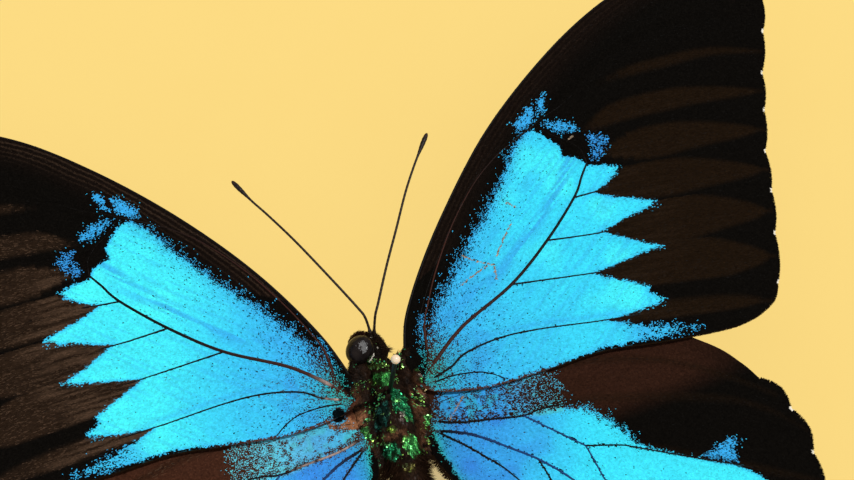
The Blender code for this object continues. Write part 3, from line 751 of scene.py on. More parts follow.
def fore_upper(wing, points, facts, seed):
    """The forewing's upper side: share of blue, the blue's colour, the ground colour and brown streaks."""
    x, y = points.T
    left = wing.side < 0
    edge = facts["edge"]
    share, hue, depth = blue_field(wing, points, cloud(points, 0.45, seed))
    root = np.hypot(x - 5.0, y - 0.5)
    front = off_line(points, wing.front)
    rear = y < 0.9
    worn = 0.006 + 0.28 * bell(root, 8.5) + 0.08 * smoothstep(0.8, 0.97, cloud(points, 0.8, seed + 1))
    worn += 0.25 * smoothstep(29.5, 33.5, x) * rear
    worn += 0.26 * fade(front, 1.1) * smoothstep(34, 20, y)
    share = share * (1 - np.clip(worn, 0, 0.8))

    fine = streaks_along(points, (0.78, 0.63), seed + 2)
    # on the left wing the pale cyan is raised all over: painted light on the wing that the lamp lights more;
    # the clouds are the blue's own paler tone
    pale = 0.6 * smoothstep(0.5, 0.85, cloud(points, 4.0, seed + 9)) + (0.6 if left else 0.0)
    above = off_line(points, smooth_line(FORE_VEINS["cubitus"][0], 4))
    over_cubitus = (y - x * 0.72 > -4.2) & (x < 31)
    anal = smooth_line(FORE_VEINS["anal_2"][0], 4)
    over_anal = (y > np.interp(x, anal[:, 0], anal[:, 1])) & (x > 13)
    hue = layered(
        hue,
        (AZURE, 0.55 * fade(depth, 0.3)),
        (PALE_CYAN, np.clip(pale, 0, 0.9) * smoothstep(12, 24, root) * smoothstep(0.0, 0.5, depth)),
        (AZURE, 0.7 * smoothstep(28, 33, x) * rear),
        (AZURE, np.clip(0.85 * bell(root, 14.0) + 0.14 * cloud(points, 3.0, seed + 3), 0, 1)),
        (VIOLET, 0.5 * bell(root, 9.0) * smoothstep(0.35, 0.75, cloud(points, 1.6, seed + 7))),
        (AZURE, 0.3 * smoothstep(0.5, 0.9, fine)),
        (AZURE, 0.85 * fade(front, 1.0 + 1.8 * smoothstep(22, 8, y))),
        # painted shade along two folds: a darker azure band above the cubitus and a thin one above the second
        # anal vein
        (AZURE, 0.7 * bell(above - FOLD_SHADE_PLACE, FOLD_SHADE_WIDTH) * over_cubitus * smoothstep(0.15, 0.6, fine)),
        (AZURE, 0.4 * bell(off_line(points, anal) - 0.7, 0.35) * over_anal * smoothstep(34, 26, x)),
        (TEAL, 0.8 * bell(root, 3.6)))

    streak = streak_share(facts)
    hairs = streaks_along(points, (1.0, -0.06), seed + 6)
    patchy = cloud(points, 3.2, seed + 5)
    # painted sheen: on the left wing the brown streaks are painted lighter and streaked along the hairs, with
    # a pale hair sheen over them, and a trace of it on the right
    silky = 0.6 + 0.3 * hairs + 0.3 * patchy if left else 0.95
    sheen_streaks = streak * smoothstep(-4.5, -0.8, depth) * smoothstep(0.35, 0.8, hairs)
    ground = layered(
        VELVET,
        (SHEEN_UMBER if left else UMBER, np.clip(streak * silky, 0, 1)),
        (HAIR_SHEEN, (0.42 if left else 0.04) * sheen_streaks))
    if not left:
        share, ground = rub(points, share, ground, SCRATCHES)
    costal = y > 0.55 * x + 8
    lines = smoothstep(0.2, 0.9, np.sin(2 * np.pi * edge / COSTAL_LINES + 2.5 * patchy))
    ground = layered(
        ground,
        (RUSSET, 0.28 * smoothstep(5.0, 1.0, edge) * costal),
        (SEPIA, (0.4 if left else 0.1) * lines * smoothstep(3.4, 0.8, edge) * costal),
        (FOX, 0.7 * smoothstep(0.45, 0.2, edge) * (y < 0) * smoothstep(24, 16, x)),
        (FOX, 0.4 * bell(root, 6.0) * smoothstep(-0.4, 0.3, depth)))
    share, ground = root_pad(wing, points, share, ground)
    return share, hue, ground, streak


def hind_upper(wing, points, facts, seed):
    """The same on the hindwing's upper side."""
    x, y = points.T
    left = wing.side < 0
    clumps = cloud(points, 0.45, seed)
    share, hue, depth = blue_field(wing, points, clumps)
    root = np.hypot(x - 4.0, y + 6.0)
    dusted, _ = depth_in(points, HIND_DUSTED)
    thick = 0.28 if left else 0.12
    dust = smoothstep(-0.3, 1.3, dusted) * (thick + 0.62 * smoothstep(24, 9, x)) * (0.6 + 0.8 * clumps)
    worn = 0.006 + 0.3 * np.exp(-root / 4.0) + 0.4 * smoothstep(0.26, 0.1, facts["vein"])
    share = np.maximum(share * (1 - np.clip(worn, 0, 0.8)), dust)

    far = smoothstep(7, 21, root)
    shaded = 0.25 + 0.5 * smoothstep(0.35, 0.9, cloud(points, 2.4, seed + 5))
    pale = 0.45 * smoothstep(18, 30, root) * cloud(points, 5.0, seed + 4)
    inwards = x - np.interp(-y, *INNER_EDGE)
    green = 0.28 + 0.42 * smoothstep(6, 18, x) if left else 0.4 * smoothstep(12, 18, x)
    hue = layered(
        mix(mix(AZURE, hue, far), hue, (x > 33).astype(float)),
        (AZURE, 0.45 * fade(depth, 0.3)),
        (PALE_CYAN, pale * smoothstep(0.0, 0.5, depth)),
        (VIOLET, shaded * (1 - far)),
        (VIOLET, 0.35 * smoothstep(5.0, 2.0, inwards) * (dusted < 0)),
        (TEAL, 0.7 * fade(inwards, 0.6) + 0.3 * bell(root, 3.5)),
        (TEAL, 0.35 * (dusted > 0) * smoothstep(0.5, 0.85, cloud(points, 0.9, seed + 6))),
        (SEA_GREEN, green * smoothstep(-0.3, 0.5, dusted)))

    streak = streak_share(facts)
    ahead = y - 0.12 * x
    off_margin = np.maximum(smoothstep(1.5, 3.0, inwards), smoothstep(-7.5, -6.5, y))
    foxy = 0.45 if left else 0.24
    ground = layered(
        VELVET,
        (RUSSET, smoothstep(-9.0, -3.0, ahead)),
        (FOX, foxy * smoothstep(-15.0, -11.0, ahead) * smoothstep(50, 34, x) * off_margin),
        (UMBER, 0.5 * streak),
        (SEPIA, 0.6 * smoothstep(4.5, 1.0, inwards) * (y < -14)))
    if not left:
        share, ground = rub(points, share, ground, [HIND_SCRATCH])
    share, ground = root_pad(wing, points, share, ground)
    return share, hue, ground, streak


def no_blue(ground):
    """What a pattern gives where no scale is blue and no streak runs."""
    nothing = np.zeros(len(ground))
    return nothing, np.tile(CYAN, (len(ground), 1)), ground, nothing


def fore_under(wing, points, facts, seed):
    """The underside: dull brown, with a pale streaked band before the margin."""
    x, y = points.T
    band = smoothstep(3.0, 6.0, facts["edge"]) * smoothstep(19.0, 10.0, facts["edge"])
    band *= smoothstep(24, 34, x + 0.35 * y)
    band = 0.75 * band * smoothstep(0.4, 1.6, facts["vein"])
    streaky = 0.55 + 0.6 * cloud(points * (0.6, 2.5), 1.4, seed + 1)
    return no_blue(layered(SEPIA, (VELVET, 0.45 * cloud(points, 6.0, seed)), (ASH, band * streaky)))


def hind_under(wing, points, facts, seed):
    """The hindwing's underside: a row of blue-grey and rust crescents in a pale dusted border."""
    dusting = 0.45 * smoothstep(13.0, 7.0, facts["edge"]) * smoothstep(0.2, 1.2, facts["vein"])
    ground = layered(SEPIA, (VELVET, 0.45 * cloud(points, 6.0, seed)),
                     (ASH, dusting * (0.4 + 0.8 * cloud(points, 1.6, seed + 1))))
    for notch in np.array([*HIND_NOTCHES[1:], *HIND_REAR_NOTCHES[1:]]):
        inwards = unit(HIND_MIDDLE - notch)
        away = points - (notch + CRESCENT_INSET * inwards)
        reach = np.linalg.norm(away, axis=1)
        outer = away @ inwards < 0
        rim = smoothstep(0.55, 0.2, np.abs(reach - CRESCENT_RADIUS))
        ground = layered(ground, (VELVET, smoothstep(2.7, 2.3, reach)), (RUST, 0.9 * rim * outer),
                         (SLATE_BLUE, 0.8 * rim * ~outer))
    return no_blue(ground)


def scatter(outline, rng, row, pitch):
    """Jittered, staggered points inside an outline."""
    low, high = outline.min(axis=0), outline.max(axis=0)
    columns = np.arange(low[0], high[0], pitch)
    rows = np.arange(low[1], high[1], row)
    x, y = np.meshgrid(columns, rows)
    x[1::2] += pitch / 2
    points = np.stack([x.ravel(), y.ravel()], axis=1)
    points += rng.uniform(-0.38, 0.38, points.shape) * (pitch, row)
    return points[inside(points, outline)]


def make_scales(name, wing, pattern, upper, seed):
    """Every scale of one side of a wing: a small blade that overlaps the next row."""
    rng = np.random.default_rng(seed)
    size = SCALE_DRAFT * (1.0 if upper else UNDER_COARSER)
    points = scatter(wing.outline, rng, ROW_PITCH * size, SCALE_PITCH * size)
    small = np.zeros(len(points), bool)
    if upper:
        points = points[~wing.speckled(points)]
        extra = scatter(wing.outline, rng, ROW_PITCH * size * FINER, SCALE_PITCH * size * FINER)
        extra = extra[wing.speckled(extra)]
        small = np.arange(len(points) + len(extra)) >= len(points)
        points = np.vstack([points, extra])
    facts = wing.survey(points)
    clear = facts["edge"] > 0.1
    if upper:
        clear &= (facts["vein"] > VEIN_CLEARANCE) | (depth_in(points, wing.field)[0] < -0.5)
    points, small = points[clear], small[clear]
    facts = {key: values[clear] for key, values in facts.items()}
    share, hue, ground, silky = pattern(wing, points, facts, seed)

    count = len(points)
    blue = rng.random(count) < share
    hair = (rng.random(count) < silky * 0.75) & ~blue
    bright = np.where(blue, rng.normal(1.0, 0.07, count), rng.lognormal(0.0, 0.18, count))
    colour = np.where(blue[:, None], hue, ground) * np.clip(bright, 0.4, 2.2)[:, None]
    # painted glints: some hair scales of the left wings take the pale colour of the painted sheen
    glint = hair & (rng.random(count) < 0.16) & (wing.side < 0)
    colour[glint] = mix(colour[glint], HAIR_SHEEN, 0.5)

    turn = rng.normal(0, np.where(hair, 0.13, 0.16)) * smoothstep(0.0, 0.6, facts["edge"])
    x, y = wing.lie(points).T
    along = np.stack([x * np.cos(turn) - y * np.sin(turn), x * np.sin(turn) + y * np.cos(turn)], axis=1)
    across = np.stack([-along[:, 1], along[:, 0]], axis=1)
    length = np.where(hair, HAIR_SCALE[0], SCALE_LENGTH) * size * rng.uniform(0.88, 1.12, count)
    width = np.where(hair, HAIR_SCALE[1], SCALE_WIDTH) * size * rng.uniform(0.88, 1.12, count)
    lone = (blue & (share < 0.7)) | (~blue & (share > 0.8) & (facts["vein"] > 0.3))
    length[lone] *= 0.7
    width[lone] *= 0.74
    length[small] *= FINER
    width[small] *= FINER

    facing = 1.0 if upper else -1.0
    height, slope = wing.surface(points, facts)
    rise = SCALE_RISE * rng.uniform(0.6, 1.5, count)
    roll = rng.normal(0, 0.02, count)
    place = wing.unwrapped(points) + 2 * BAKE_PATCH
    corners, bake = [], []
    for ahead, aside in SCALE_BLADE:
        offset = along * (ahead * length)[:, None] + across * (aside * width)[:, None]
        lift = MEMBRANE / 2 + SCALE_LIFT + rise * (ahead + 0.5) + roll * aside
        corners.append(wing.laid(points + offset, height + (slope * offset).sum(axis=1) + facing * lift))
        bake.append(place + np.array((ahead, aside)) * BAKE_PATCH)
    blades(name, np.stack(corners, axis=1), colour, np.stack(bake, axis=1), SCALE_LOOK, "wing_scales",
           wing.side * facing < 0)


def make_membrane(name, wing, patterns, seed, node):
    """The wing's skin: a thin closed sheet with the ridges of its veins and the colours of its two sides."""
    outline = wing.outline
    low, high = outline.min(axis=0), outline.max(axis=0)
    x, y = np.meshgrid(np.arange(low[0], high[0], MEMBRANE_GRID), np.arange(low[1], high[1], MEMBRANE_GRID))
    x[1::2] += MEMBRANE_GRID / 2
    grid = np.stack([x.ravel(), y.ravel()], axis=1)
    grid = grid[depth_in(grid, outline)[0] > MEMBRANE_GRID * 0.6]
    rim = len(outline)
    edges = [(i, (i + 1) % rim) for i in range(rim)]
    flat = [Vector(point) for point in np.vstack([outline, grid])]
    corners, _, faces, *_ = delaunay_2d_cdt(flat, edges, [], 1, 1e-5)
    flat = np.array([tuple(point) for point in corners])
    faces = np.array([face for face in faces if len(face) == 3])
    a, b, c = (flat[faces[:, i]] for i in range(3))
    turned = np.cross(b - a, c - a) < 0
    faces[turned] = faces[turned][:, ::-1]
    sides = np.vstack([faces[:, [0, 1]], faces[:, [1, 2]], faces[:, [2, 0]]]).tolist()
    known = {tuple(pair) for pair in sides}
    border = np.array([pair for pair in sides if (pair[1], pair[0]) not in known])

    facts = wing.survey(flat)
    height, _ = wing.surface(flat, facts)
    half = MEMBRANE / 2 * (MEMBRANE_RIM + (1 - MEMBRANE_RIM) * smoothstep(0, 0.5, facts["edge"]))
    sheet = np.vstack([wing.laid(flat, height + half), wing.laid(flat, height - half)])
    count = len(flat)
    walls = np.column_stack([border[:, 1], border[:, 0], border[:, 0] + count, border[:, 1] + count])
    face_sets = [np.vstack([faces, faces[:, ::-1] + count]), walls]
    tints = []
    for pattern in patterns:
        share, hue, ground, _ = pattern(wing, flat, facts, seed)
        tints.append(mix(ground, hue * 0.8, smoothstep(0.3, 0.95, share)))
    piece = build(name, sheet, wing.faced(face_sets), MEMBRANE_LOOK, True, np.vstack(tints))
    dress(piece, "wing_scales", node)


def vein_tint(wing, kind, line):
    """A vein's colour: brown near the root, with a broken painted highlight on the left, and violet in the
    hind field.
    """
    x, y = line.T
    near = smoothstep(26, 8, x) * (kind in ("cubitus", "radius")) * (y > -2)
    if wing.hind:
        # painted highlight on the left veins near the root, broken up by noise
        painted_highlight = 0.75 * smoothstep(5.0, 6.5, x) * smoothstep(15.0, 11.0, x) * (kind == "radius")
    else:
        painted_highlight = 0.8 * smoothstep(9.0, 6.5, x) * (kind in ("cubitus", "anal_2"))
    painted_highlight = painted_highlight * (wing.side < 0) * smoothstep(0.25, 0.6, cloud(line, 0.4, 17))
    violet = 0.6 * smoothstep(5.0, 12.0, x) * (wing.hind and kind in ("cubitus", "cell_front", "cell_end"))
    return layered(VEIN_DARK, (VEIN_BROWN, near), (PAINTED_GLINT * 0.6, painted_highlight), (VIOLET * 0.35, violet))


def make_veins(name, wing):
    """The veins as tapering tubes that stand out on both sides of the membrane."""
    parts, colours = [], []
    for kind, (course, thick, thin, _) in wing.veins.items():
        line = smooth_line(course, 10)
        height, _ = wing.surface(line, wing.survey(line))
        radii = thick + (thin - thick) * np.linspace(0, 1, len(line)) ** 0.8
        in_blue = depth_in(line, wing.field)[0] > -0.5
        rooted = smoothstep(0.0, 1.0, run_along(line)) if line[0, 0] < 6.5 else np.ones(len(line))
        path = wing.laid(line, height + VEIN_LIFT * in_blue - VEIN_SINK * (1 - rooted))
        radii = radii * np.where(in_blue, 1.12, 0.8) * (0.45 + 0.55 * rooted)
        points, faces = tube(path, radii, 8, 0.85)
        parts.append((points, wing.faced(faces)))
        colours.append(np.repeat(vein_tint(wing, kind, line), 8, axis=0))
    points, faces = join(parts)
    dress(build(name, points, faces, VEIN_LOOK, True, np.vstack(colours)), "wing_scales")


def make_fringe(name, wing, runs, seed):
    """The fringe: narrow scales that stand out from the margin, white in the notches.
    A run is (start, end, length, colour) with start and end as places on the outline."""
    rng = np.random.default_rng(seed)
    line = np.vstack([wing.outline, wing.outline[:1]])
    reach = run_along(line)

    def on_margin(places):
        return np.column_stack([np.interp(places, reach, axis) for axis in line.T])

    fringe, colours = [], []
    for start, end, length, colour in runs:
        from_, to = (reach[np.linalg.norm(line - np.array(p), axis=1)[:-1].argmin()] for p in (start, end))
        spots = np.arange(from_, to, FRINGE_PITCH * SCALE_DRAFT)
        for layer in range(2):
            places = spots + rng.uniform(-0.04, 0.04, len(spots))
            points = on_margin(places)
            along = unit(on_margin(places + 0.25) - points)
            out = np.column_stack([-along[:, 1], along[:, 0]])
            out = unit(out + along * rng.normal(0, 0.22, len(out))[:, None])
            across = np.column_stack([-out[:, 1], out[:, 0]])
            height, _ = wing.surface(points, wing.survey(points))
            size = length * rng.uniform(0.6, 1.05, len(points))
            corners = []
            for forward, aside in FRINGE_BLADE:
                z = height + (layer - 0.5) * 0.05 + rng.normal(0, 0.012, len(points))
                corners.append(wing.laid(points + out * (forward * size)[:, None] + across * aside, z))
            fringe.append(np.stack(corners, axis=1))
            gap = np.min(np.linalg.norm(points[:, None] - wing.notches[None], axis=2), axis=1)
            white = smoothstep(0.42, 0.2, gap) > rng.random(len(points))
            shade = rng.uniform(0.7, 1.1, (len(points), 1))
            colours.append(np.where(white[:, None], WHITE, colour) * shade)
    corners = np.vstack(fringe)
    patch = np.array([(0, 0), (0.5, 0), (1, 0.4), (1, 0.6), (0.5, 1), (0, 1)]) * BAKE_PATCH
    bake = wing.unwrapped(corners[:, :1, :2] * (wing.side, 1)) + patch
    blades(name, corners, np.vstack(colours), bake, SCALE_LOOK, "wing_scales", wing.side < 0)


def leading_edge(points, inset=0.14):
    """A vein's course just inside a wing's leading edge."""
    line = smooth_line(points, 2)
    along = unit(np.gradient(line, axis=0))
    return line + np.column_stack([along[:, 1], -along[:, 0]]) * inset


def make_wings():
    fore_runs = [(FORE_NOTCHES[0], FORE_NOTCHES[-1], 0.26, VELVET),
                 (FORE_NOTCHES[-1], FORE_INNER[3], 0.2, UMBER)]
    hind_runs = [(HIND_NOTCHES[0], HIND_REAR_NOTCHES[-1], 0.34, VELVET),
                 (HIND_REAR_NOTCHES[-1], HIND_INNER[5], 0.8, UMBER)]
    for name, side in SIDES.items():
        costa = {"costa": (leading_edge(FORE_COSTA_ROOT[name] + FORE_COSTA), 0.24, 0.1, 0.0)}
        fore = Wing(side, fore_outline(name), FORE_VEINS | costa, FORE_NOTCHES[1:], fore_height,
                    FORE_BLUE, FORE_SPOTS)
        costa = {"costa": (leading_edge(HIND_COSTA), 0.16, 0.08, 0.0)}
        hind = Wing(side, hind_outline(), HIND_VEINS | costa, HIND_NOTCHES[1:] + HIND_REAR_NOTCHES,
                    hind_height, HIND_BLUE, HIND_SPOTS)
        for kind, wing, upper, under, runs, seed in (
                ("forewing_", fore, fore_upper, fore_under, fore_runs, 11),
                ("hindwing_", hind, hind_upper, hind_under, hind_runs, 29)):
            node = kind + name
            make_membrane(node + "_membrane", wing, (upper, under), seed, node)
            make_veins(node + "_veins", wing)
            make_scales(node + "_scales_upper", wing, upper, True, seed + side)
            make_scales(node + "_scales_under", wing, under, False, seed + 4 + side)
            make_fringe(node + "_fringe", wing, runs, seed + 8 + side)


# ---- Body: stations along y with (y, half width, half height, height of the middle), as in the solids ----
TRUNK = [
    (3.35, 1.35, 1.45, -1.15), (2.6, 1.85, 1.95, -1.25), (1.8, 2.2, 2.5, -1.35), (0.2, 2.62, 3.05, -1.5),
    (-2.0, 2.86, 3.4, -1.6), (-4.5, 2.9, 3.4, -1.65), (-7.0, 2.72, 3.1, -1.65), (-9.0, 2.35, 2.6, -1.75),
    (-10.4, 2.15, 2.35, -1.85), (-12.5, 2.4, 2.5, -2.05), (-16.5, 2.6, 2.7, -2.5),
    (-21.0, 2.45, 2.55, -3.1), (-25.5, 1.95, 2.05, -3.65), (-28.8, 1.3, 1.4, -4.0),
    (-30.6, 0.7, 0.8, -4.15), (-31.3, 0.25, 0.3, -4.2),
]
COAT = 0.22                     # the skin lies this deep under the fur
ABDOMEN_RINGS = (-10.6, -13.2, -15.9, -18.6, -21.2, -23.7, -26.0, -28.1, -29.8)
THORAX_FOLDS = ((2.05, 0.25, 0.3), (-6.55, 0.16, 0.3), (-9.7, 0.25, 0.35))   # y, depth, width
TRUNK_SIDES = 48
NECK = ((-0.45, 3.6, -1.1), (1.1, 1.2, 1.2))    # centre and half sizes
PADS = [           # soft lumps at the roots of the right wings: centre, half sizes, sides and rings
    ((3.2, 0.8, -0.45), (1.7, 2.5, 0.62)), ((2.5, 2.5, -0.35), (0.95, 1.2, 0.65)),
    ((3.3, 3.3, 0.0), (0.5, 0.95, 0.4), 24, 18), ((3.9, 0.2, 0.1), (0.7, 0.9, 0.3)),
    ((3.1, -3.0, -0.9), (1.5, 2.8, 0.7)), ((3.9, -4.6, -1.15), (0.7, 1.2, 0.35)),
    ((2.9, -6.9, -1.75), (1.3, 2.8, 0.75)),
]
ANTENNA_BASE = ((0.4, 1.45, 1.35), (0.27, 0.4, 0.35))
SKIN_VOXEL = 0.13
HEAD_CENTRE = (-1.2, 5.15, -1.0)
HEAD_ROLL = math.radians(52)
HEAD_HALF = np.array((1.95, 2.05, 2.0))
HEAD_CORE = HEAD_HALF - COAT
EYE_CENTRE = (1.62, -0.05, 0.1)
EYE_HALF = (1.2, 1.82, 1.92)
EYE_TURN = math.radians(12)
ORBIT_ARC = (math.radians(124), math.radians(160))
ORBIT_SPOTS = [(0.55, 1.15, 1.5), (0.4, -0.3, 1.85)]
EYE_CLEARANCE = 1.75            # no fur roots nearer to an eye's centre
ORBIT_SCALES = 80
STREWN = 0.12                   # how densely glittering scales lie outside the patches
FUR_DENSITY = 62                # these per square millimetre
GLITTER_DENSITY = 110
SKIN_SCALE_DENSITY = 26
CROWN_HAIRS = 1900
TUFT_HAIRS = 140
PALP_HAIRS = 1400
HEAD_START = 3.6
TUFT_ROOT = (0.75, 4.45, -0.3)
PALP_PATH = [(0.62, 1.35, -1.45), (0.66, 1.9, -0.9), (0.62, 2.12, -0.2), (0.55, 2.05, 0.4)]
COIL_CENTRE = (0.0, 1.8, -1.75)
COIL_TURNS = 2.6
COIL_REACH = (0.52, 0.18)       # from the outer turn to the inner end
ANTENNA_ROOT = (0.4, 1.72, 1.5)
ANTENNA_PATHS = {
    "left": [(-0.5, 8.7, 1.15), (-1.15, 10.1, 1.5), (-3.45, 14.3, 2.1), (-6.5, 19.7, 2.7), (-9.0, 23.8, 2.9),
             (-10.4, 25.9, 3.0), (-11.5, 27.8, 3.0), (-12.3, 29.3, 2.9)],
    "right": [(0.75, 8.6, 1.15), (1.47, 10.0, 1.5), (3.6, 14.2, 2.1), (5.9, 18.4, 2.6), (8.2, 22.7, 2.9),
              (10.1, 25.8, 3.0), (11.6, 28.0, 3.0), (12.95, 29.9, 2.9)],
}
ANTENNA_SHAFT = 0.16
ANTENNA_CLUB = 0.33
ANTENNA_JOINTS = 44
ANTENNA_SIDES = 14
LEG_PATH = [(0.0, 0.0, -5.0), (0.45, 1.3, -6.1), (0.8, 2.6, -7.1), (0.6, 1.0, -7.7), (0.2, -2.0, -8.2),
            (0.0, -5.0, -8.5), (-0.1, -8.0, -8.3)]
LEG_WIDTHS = ([0, 0.06, 0.2, 0.32, 0.35, 0.4, 0.6, 0.64, 1.0],      # place along the leg, half width
              [0.3, 0.27, 0.24, 0.17, 0.2, 0.15, 0.13, 0.1, 0.075])
FOOT_START = 0.64
FOOT_JOINTS = 5
LEG_BRISTLES = 26
LEGS = {"fore": (0.8, 0.2, 0.1), "mid": (1.6, -2.8, 0.35), "hind": (2.4, -5.8, 1.05)}
PIN_HEAD = (0.0, -1.2, 14.5)
PIN_HEAD_RADIUS = 0.56

UMBER_FUR = srgb(45, 29, 19)
BRONZE = srgb(13, 10, 8)
EMERALD = srgb(34, 146, 92)
MOSS = srgb(44, 118, 48)
DEEP_TEAL = srgb(14, 78, 68)
LIME = srgb(150, 190, 70)
OLIVE = srgb(118, 112, 50)
OLIVE_GREEN = srgb(104, 150, 62)
ANTENNA_TINTS = srgb(20, 14, 12), srgb(58, 38, 30)
LEG_TINTS = srgb(24, 18, 14), srgb(66, 50, 38)

# Patches of glittering scales on the back: colour, how densely they stand, and the patch's corners
PATCHES = [
    (OLIVE_GREEN, 0.6, [(-1.6, 2.6), (-0.7, 2.8), (0.5, 2.5), (0.7, 2.1), (0.2, 2.1), (-1.2, 2.3)]),
    (MOSS, 0.55, [(-1.3, 1.9), (-0.2, 1.6), (-0.6, 0.0), (-1.7, 0.3)]),
    (LEAF, 0.85, [(-0.3, 1.6), (0.7, 1.4), (0.6, 0.4), (0.3, -0.3), (-0.6, -0.2)]),
    (EMERALD, 0.9, [(0.4, -0.6), (1.1, -1.3), (1.7, -2.6), (1.9, -3.9), (1.8, -5.3), (1.0, -5.0),
                    (0.6, -3.6), (0.0, -3.8), (-0.1, -2.2)]),
    (DEEP_TEAL, 0.75, [(-0.6, -2.0), (-0.5, -3.6), (-1.4, -5.1), (-2.7, -5.0), (-2.4, -3.2),
                       (-1.5, -2.4)]),
    (LIME, 0.85, [(-1.4, -5.4), (-0.7, -5.3), (-0.2, -5.9), (-1.0, -6.1)]),
    (LEAF, 0.95, [(0.2, -6.9), (1.4, -6.8), (1.9, -7.7), (1.8, -9.0), (0.7, -9.5), (-0.2, -7.9)]),
    (EMERALD, 0.8, [(-2.1, -6.9), (-0.9, -7.1), (-0.6, -8.4), (-0.9, -9.4), (-1.9, -9.1), (-2.5, -7.9)]),
    # the next four pale pink patches are painted glints: two on the bare spot of the back, two at the roots
    # of the right wings
    (PAINTED_GLINT, 1.0, [(0.5, -4.0), (0.95, -4.0), (0.95, -4.45), (0.5, -4.45)]),
    (PAINTED_GLINT, 1.0, [(0.2, -4.7), (0.65, -4.7), (0.65, -5.15), (0.2, -5.15)]),
    (PAINTED_GLINT, 0.8, [(4.0, 0.4), (4.4, 0.4), (4.4, 0.0), (4.0, 0.0)]),
    (PAINTED_GLINT, 0.7, [(3.9, -1.9), (4.2, -1.9), (4.2, -2.3), (3.9, -2.3)]),
    (LEAF, 0.6, [(3.1, 2.6), (3.7, 2.6), (3.8, 1.8), (3.2, 1.8)]),
    (LEAF, 0.6, [(3.8, 1.7), (4.3, 1.7), (4.4, 0.9), (3.8, 0.9)]),
    (OLIVE, 0.45, [(-0.8, -10.0), (0.8, -10.0), (0.6, -11.0), (-0.5, -11.0)]),
    (LEAF, 0.7, [(3.9, 0.1), (5.1, 0.0), (5.0, -1.2), (4.1, -1.3)]),
    (LEAF, 0.75, [(3.3, -4.5), (4.5, -4.7), (4.7, -6.4), (3.5, -6.6)]),
    (LEAF, 0.7, [(3.5, -7.2), (4.3, -7.2), (4.8, -9.0), (3.9, -9.3)]),
    (LEAF, 0.7, [(-5.3, 0.0), (-4.3, 0.1), (-4.4, -1.3), (-5.3, -1.2)]),
    (LEAF, 0.75, [(-4.3, -4.3), (-3.4, -4.3), (-3.2, -6.8), (-4.2, -6.8)]),
    (LEAF, 0.7, [(-4.7, -7.2), (-3.6, -7.2), (-3.6, -10.4), (-4.4, -10.6)]),
]
BARE_SPOT = [(0.15, -5.5), (0.5, -4.7), (1.2, -5.4), (0.8, -6.2)]
TAWNY_TUFTS = [    # share, corners
    (0.85, [(2.7, -1.1), (4.1, -1.4), (3.9, -3.1), (3.0, -3.5), (2.2, -2.8)]),
    (0.22, [(2.3, -3.1), (3.9, -3.5), (3.4, -4.8), (3.0, -6.4), (3.4, -8.6), (1.9, -8.4), (2.1, -5.5)]),
    (0.7, [(-5.4, -2.3), (-3.3, -2.3), (-2.9, -3.2), (-3.6, -4.1), (-5.4, -3.9)]),
    (0.3, [(-2.3, -5.7), (0.6, -5.9), (0.9, -7.2), (-2.0, -7.3)]),
    (0.15, [(3.0, 1.2), (3.6, 1.4), (3.7, -0.4), (3.1, -0.6)]),
    (0.2, [(-4.4, 0.3), (-3.4, 0.5), (-3.2, -1.9), (-4.2, -1.8)]),
    (0.2, [(-3.4, -6.4), (-4.2, -6.6), (-4.1, -9.6), (-3.1, -9.4)]),
]


HEAD_FRAME = Matrix.Translation(HEAD_CENTRE) @ Matrix.Rotation(HEAD_ROLL, 4, "Y")


def turned(vectors, matrix=HEAD_FRAME):
    return np.asarray(vectors) @ np.array(matrix)[:3, :3].T


def placed(points, matrix=HEAD_FRAME):
    return turned(points, matrix) + np.array(matrix)[:3, 3]


def ball(centre, half, sides=32, rings=24, matrix=None):
    """A closed ellipsoid: points and faces."""
    t = np.linspace(0.05, np.pi - 0.05, rings)
    path = np.column_stack([np.zeros(rings), np.zeros(rings), -np.cos(t)])
    points, faces = tube(path, np.sin(t), sides)
    points = points * half + centre
    return (points if matrix is None else placed(points, matrix)), faces


def trunk():
    """The trunk as one closed loft with the grooves between its rings."""
    stations = smooth_line(TRUNK, 14)
    y, wide, high, middle = stations.T
    groove = np.zeros(len(y))
    for place in ABDOMEN_RINGS:
        groove += bell(y - place, np.where(y > place, 0.14, 0.5)) * 0.17
    for place, depth, width in THORAX_FOLDS:
        groove += depth * bell(y - place, width)
    shrink = np.minimum(COAT + groove, 0.6 * np.minimum(wide, high))
    points, faces = tube(np.column_stack([np.zeros(len(y)), y, middle]), 1.0, TRUNK_SIDES)
    y, middle, high, wide, shrink = np.repeat([y, middle, high, wide, shrink], TRUNK_SIDES, axis=1)
    sideways = points[:, 0] * (wide - shrink)
    upwards = (points[:, 2] - middle) * (high - shrink)
    crease = 0.2 * bell(sideways, 0.22) * (np.clip(upwards, 0, None) / high) * (y > -6.5)
    return np.column_stack([sideways, y, upwards + middle - crease]), faces


def fused(parts):
    """One closed skin round overlapping closed parts."""
    points, faces = join(parts)
    rough = build("rough", points, faces, CUTICLE_LOOK)
    remesh = rough.modifiers.new("remesh", "REMESH")
    remesh.mode = "VOXEL"
    remesh.voxel_size = SKIN_VOXEL * MM
    relax = rough.modifiers.new("relax", "SMOOTH")
    relax.factor = 0.5
    relax.iterations = 3
    whole = rough.evaluated_get(bpy.context.evaluated_depsgraph_get())
    mesh = whole.to_mesh()
    points = np.empty(len(mesh.vertices) * 3, np.float32)
    mesh.vertices.foreach_get("co", points)
    corners = np.empty(len(mesh.loops), np.int32)
    mesh.loops.foreach_get("vertex_index", corners)
    whole.to_mesh_clear()
    bpy.data.objects.remove(rough)
    return points.reshape(-1, 3).astype(float) / MM - WING_ORIGIN, corners.reshape(-1, 4)


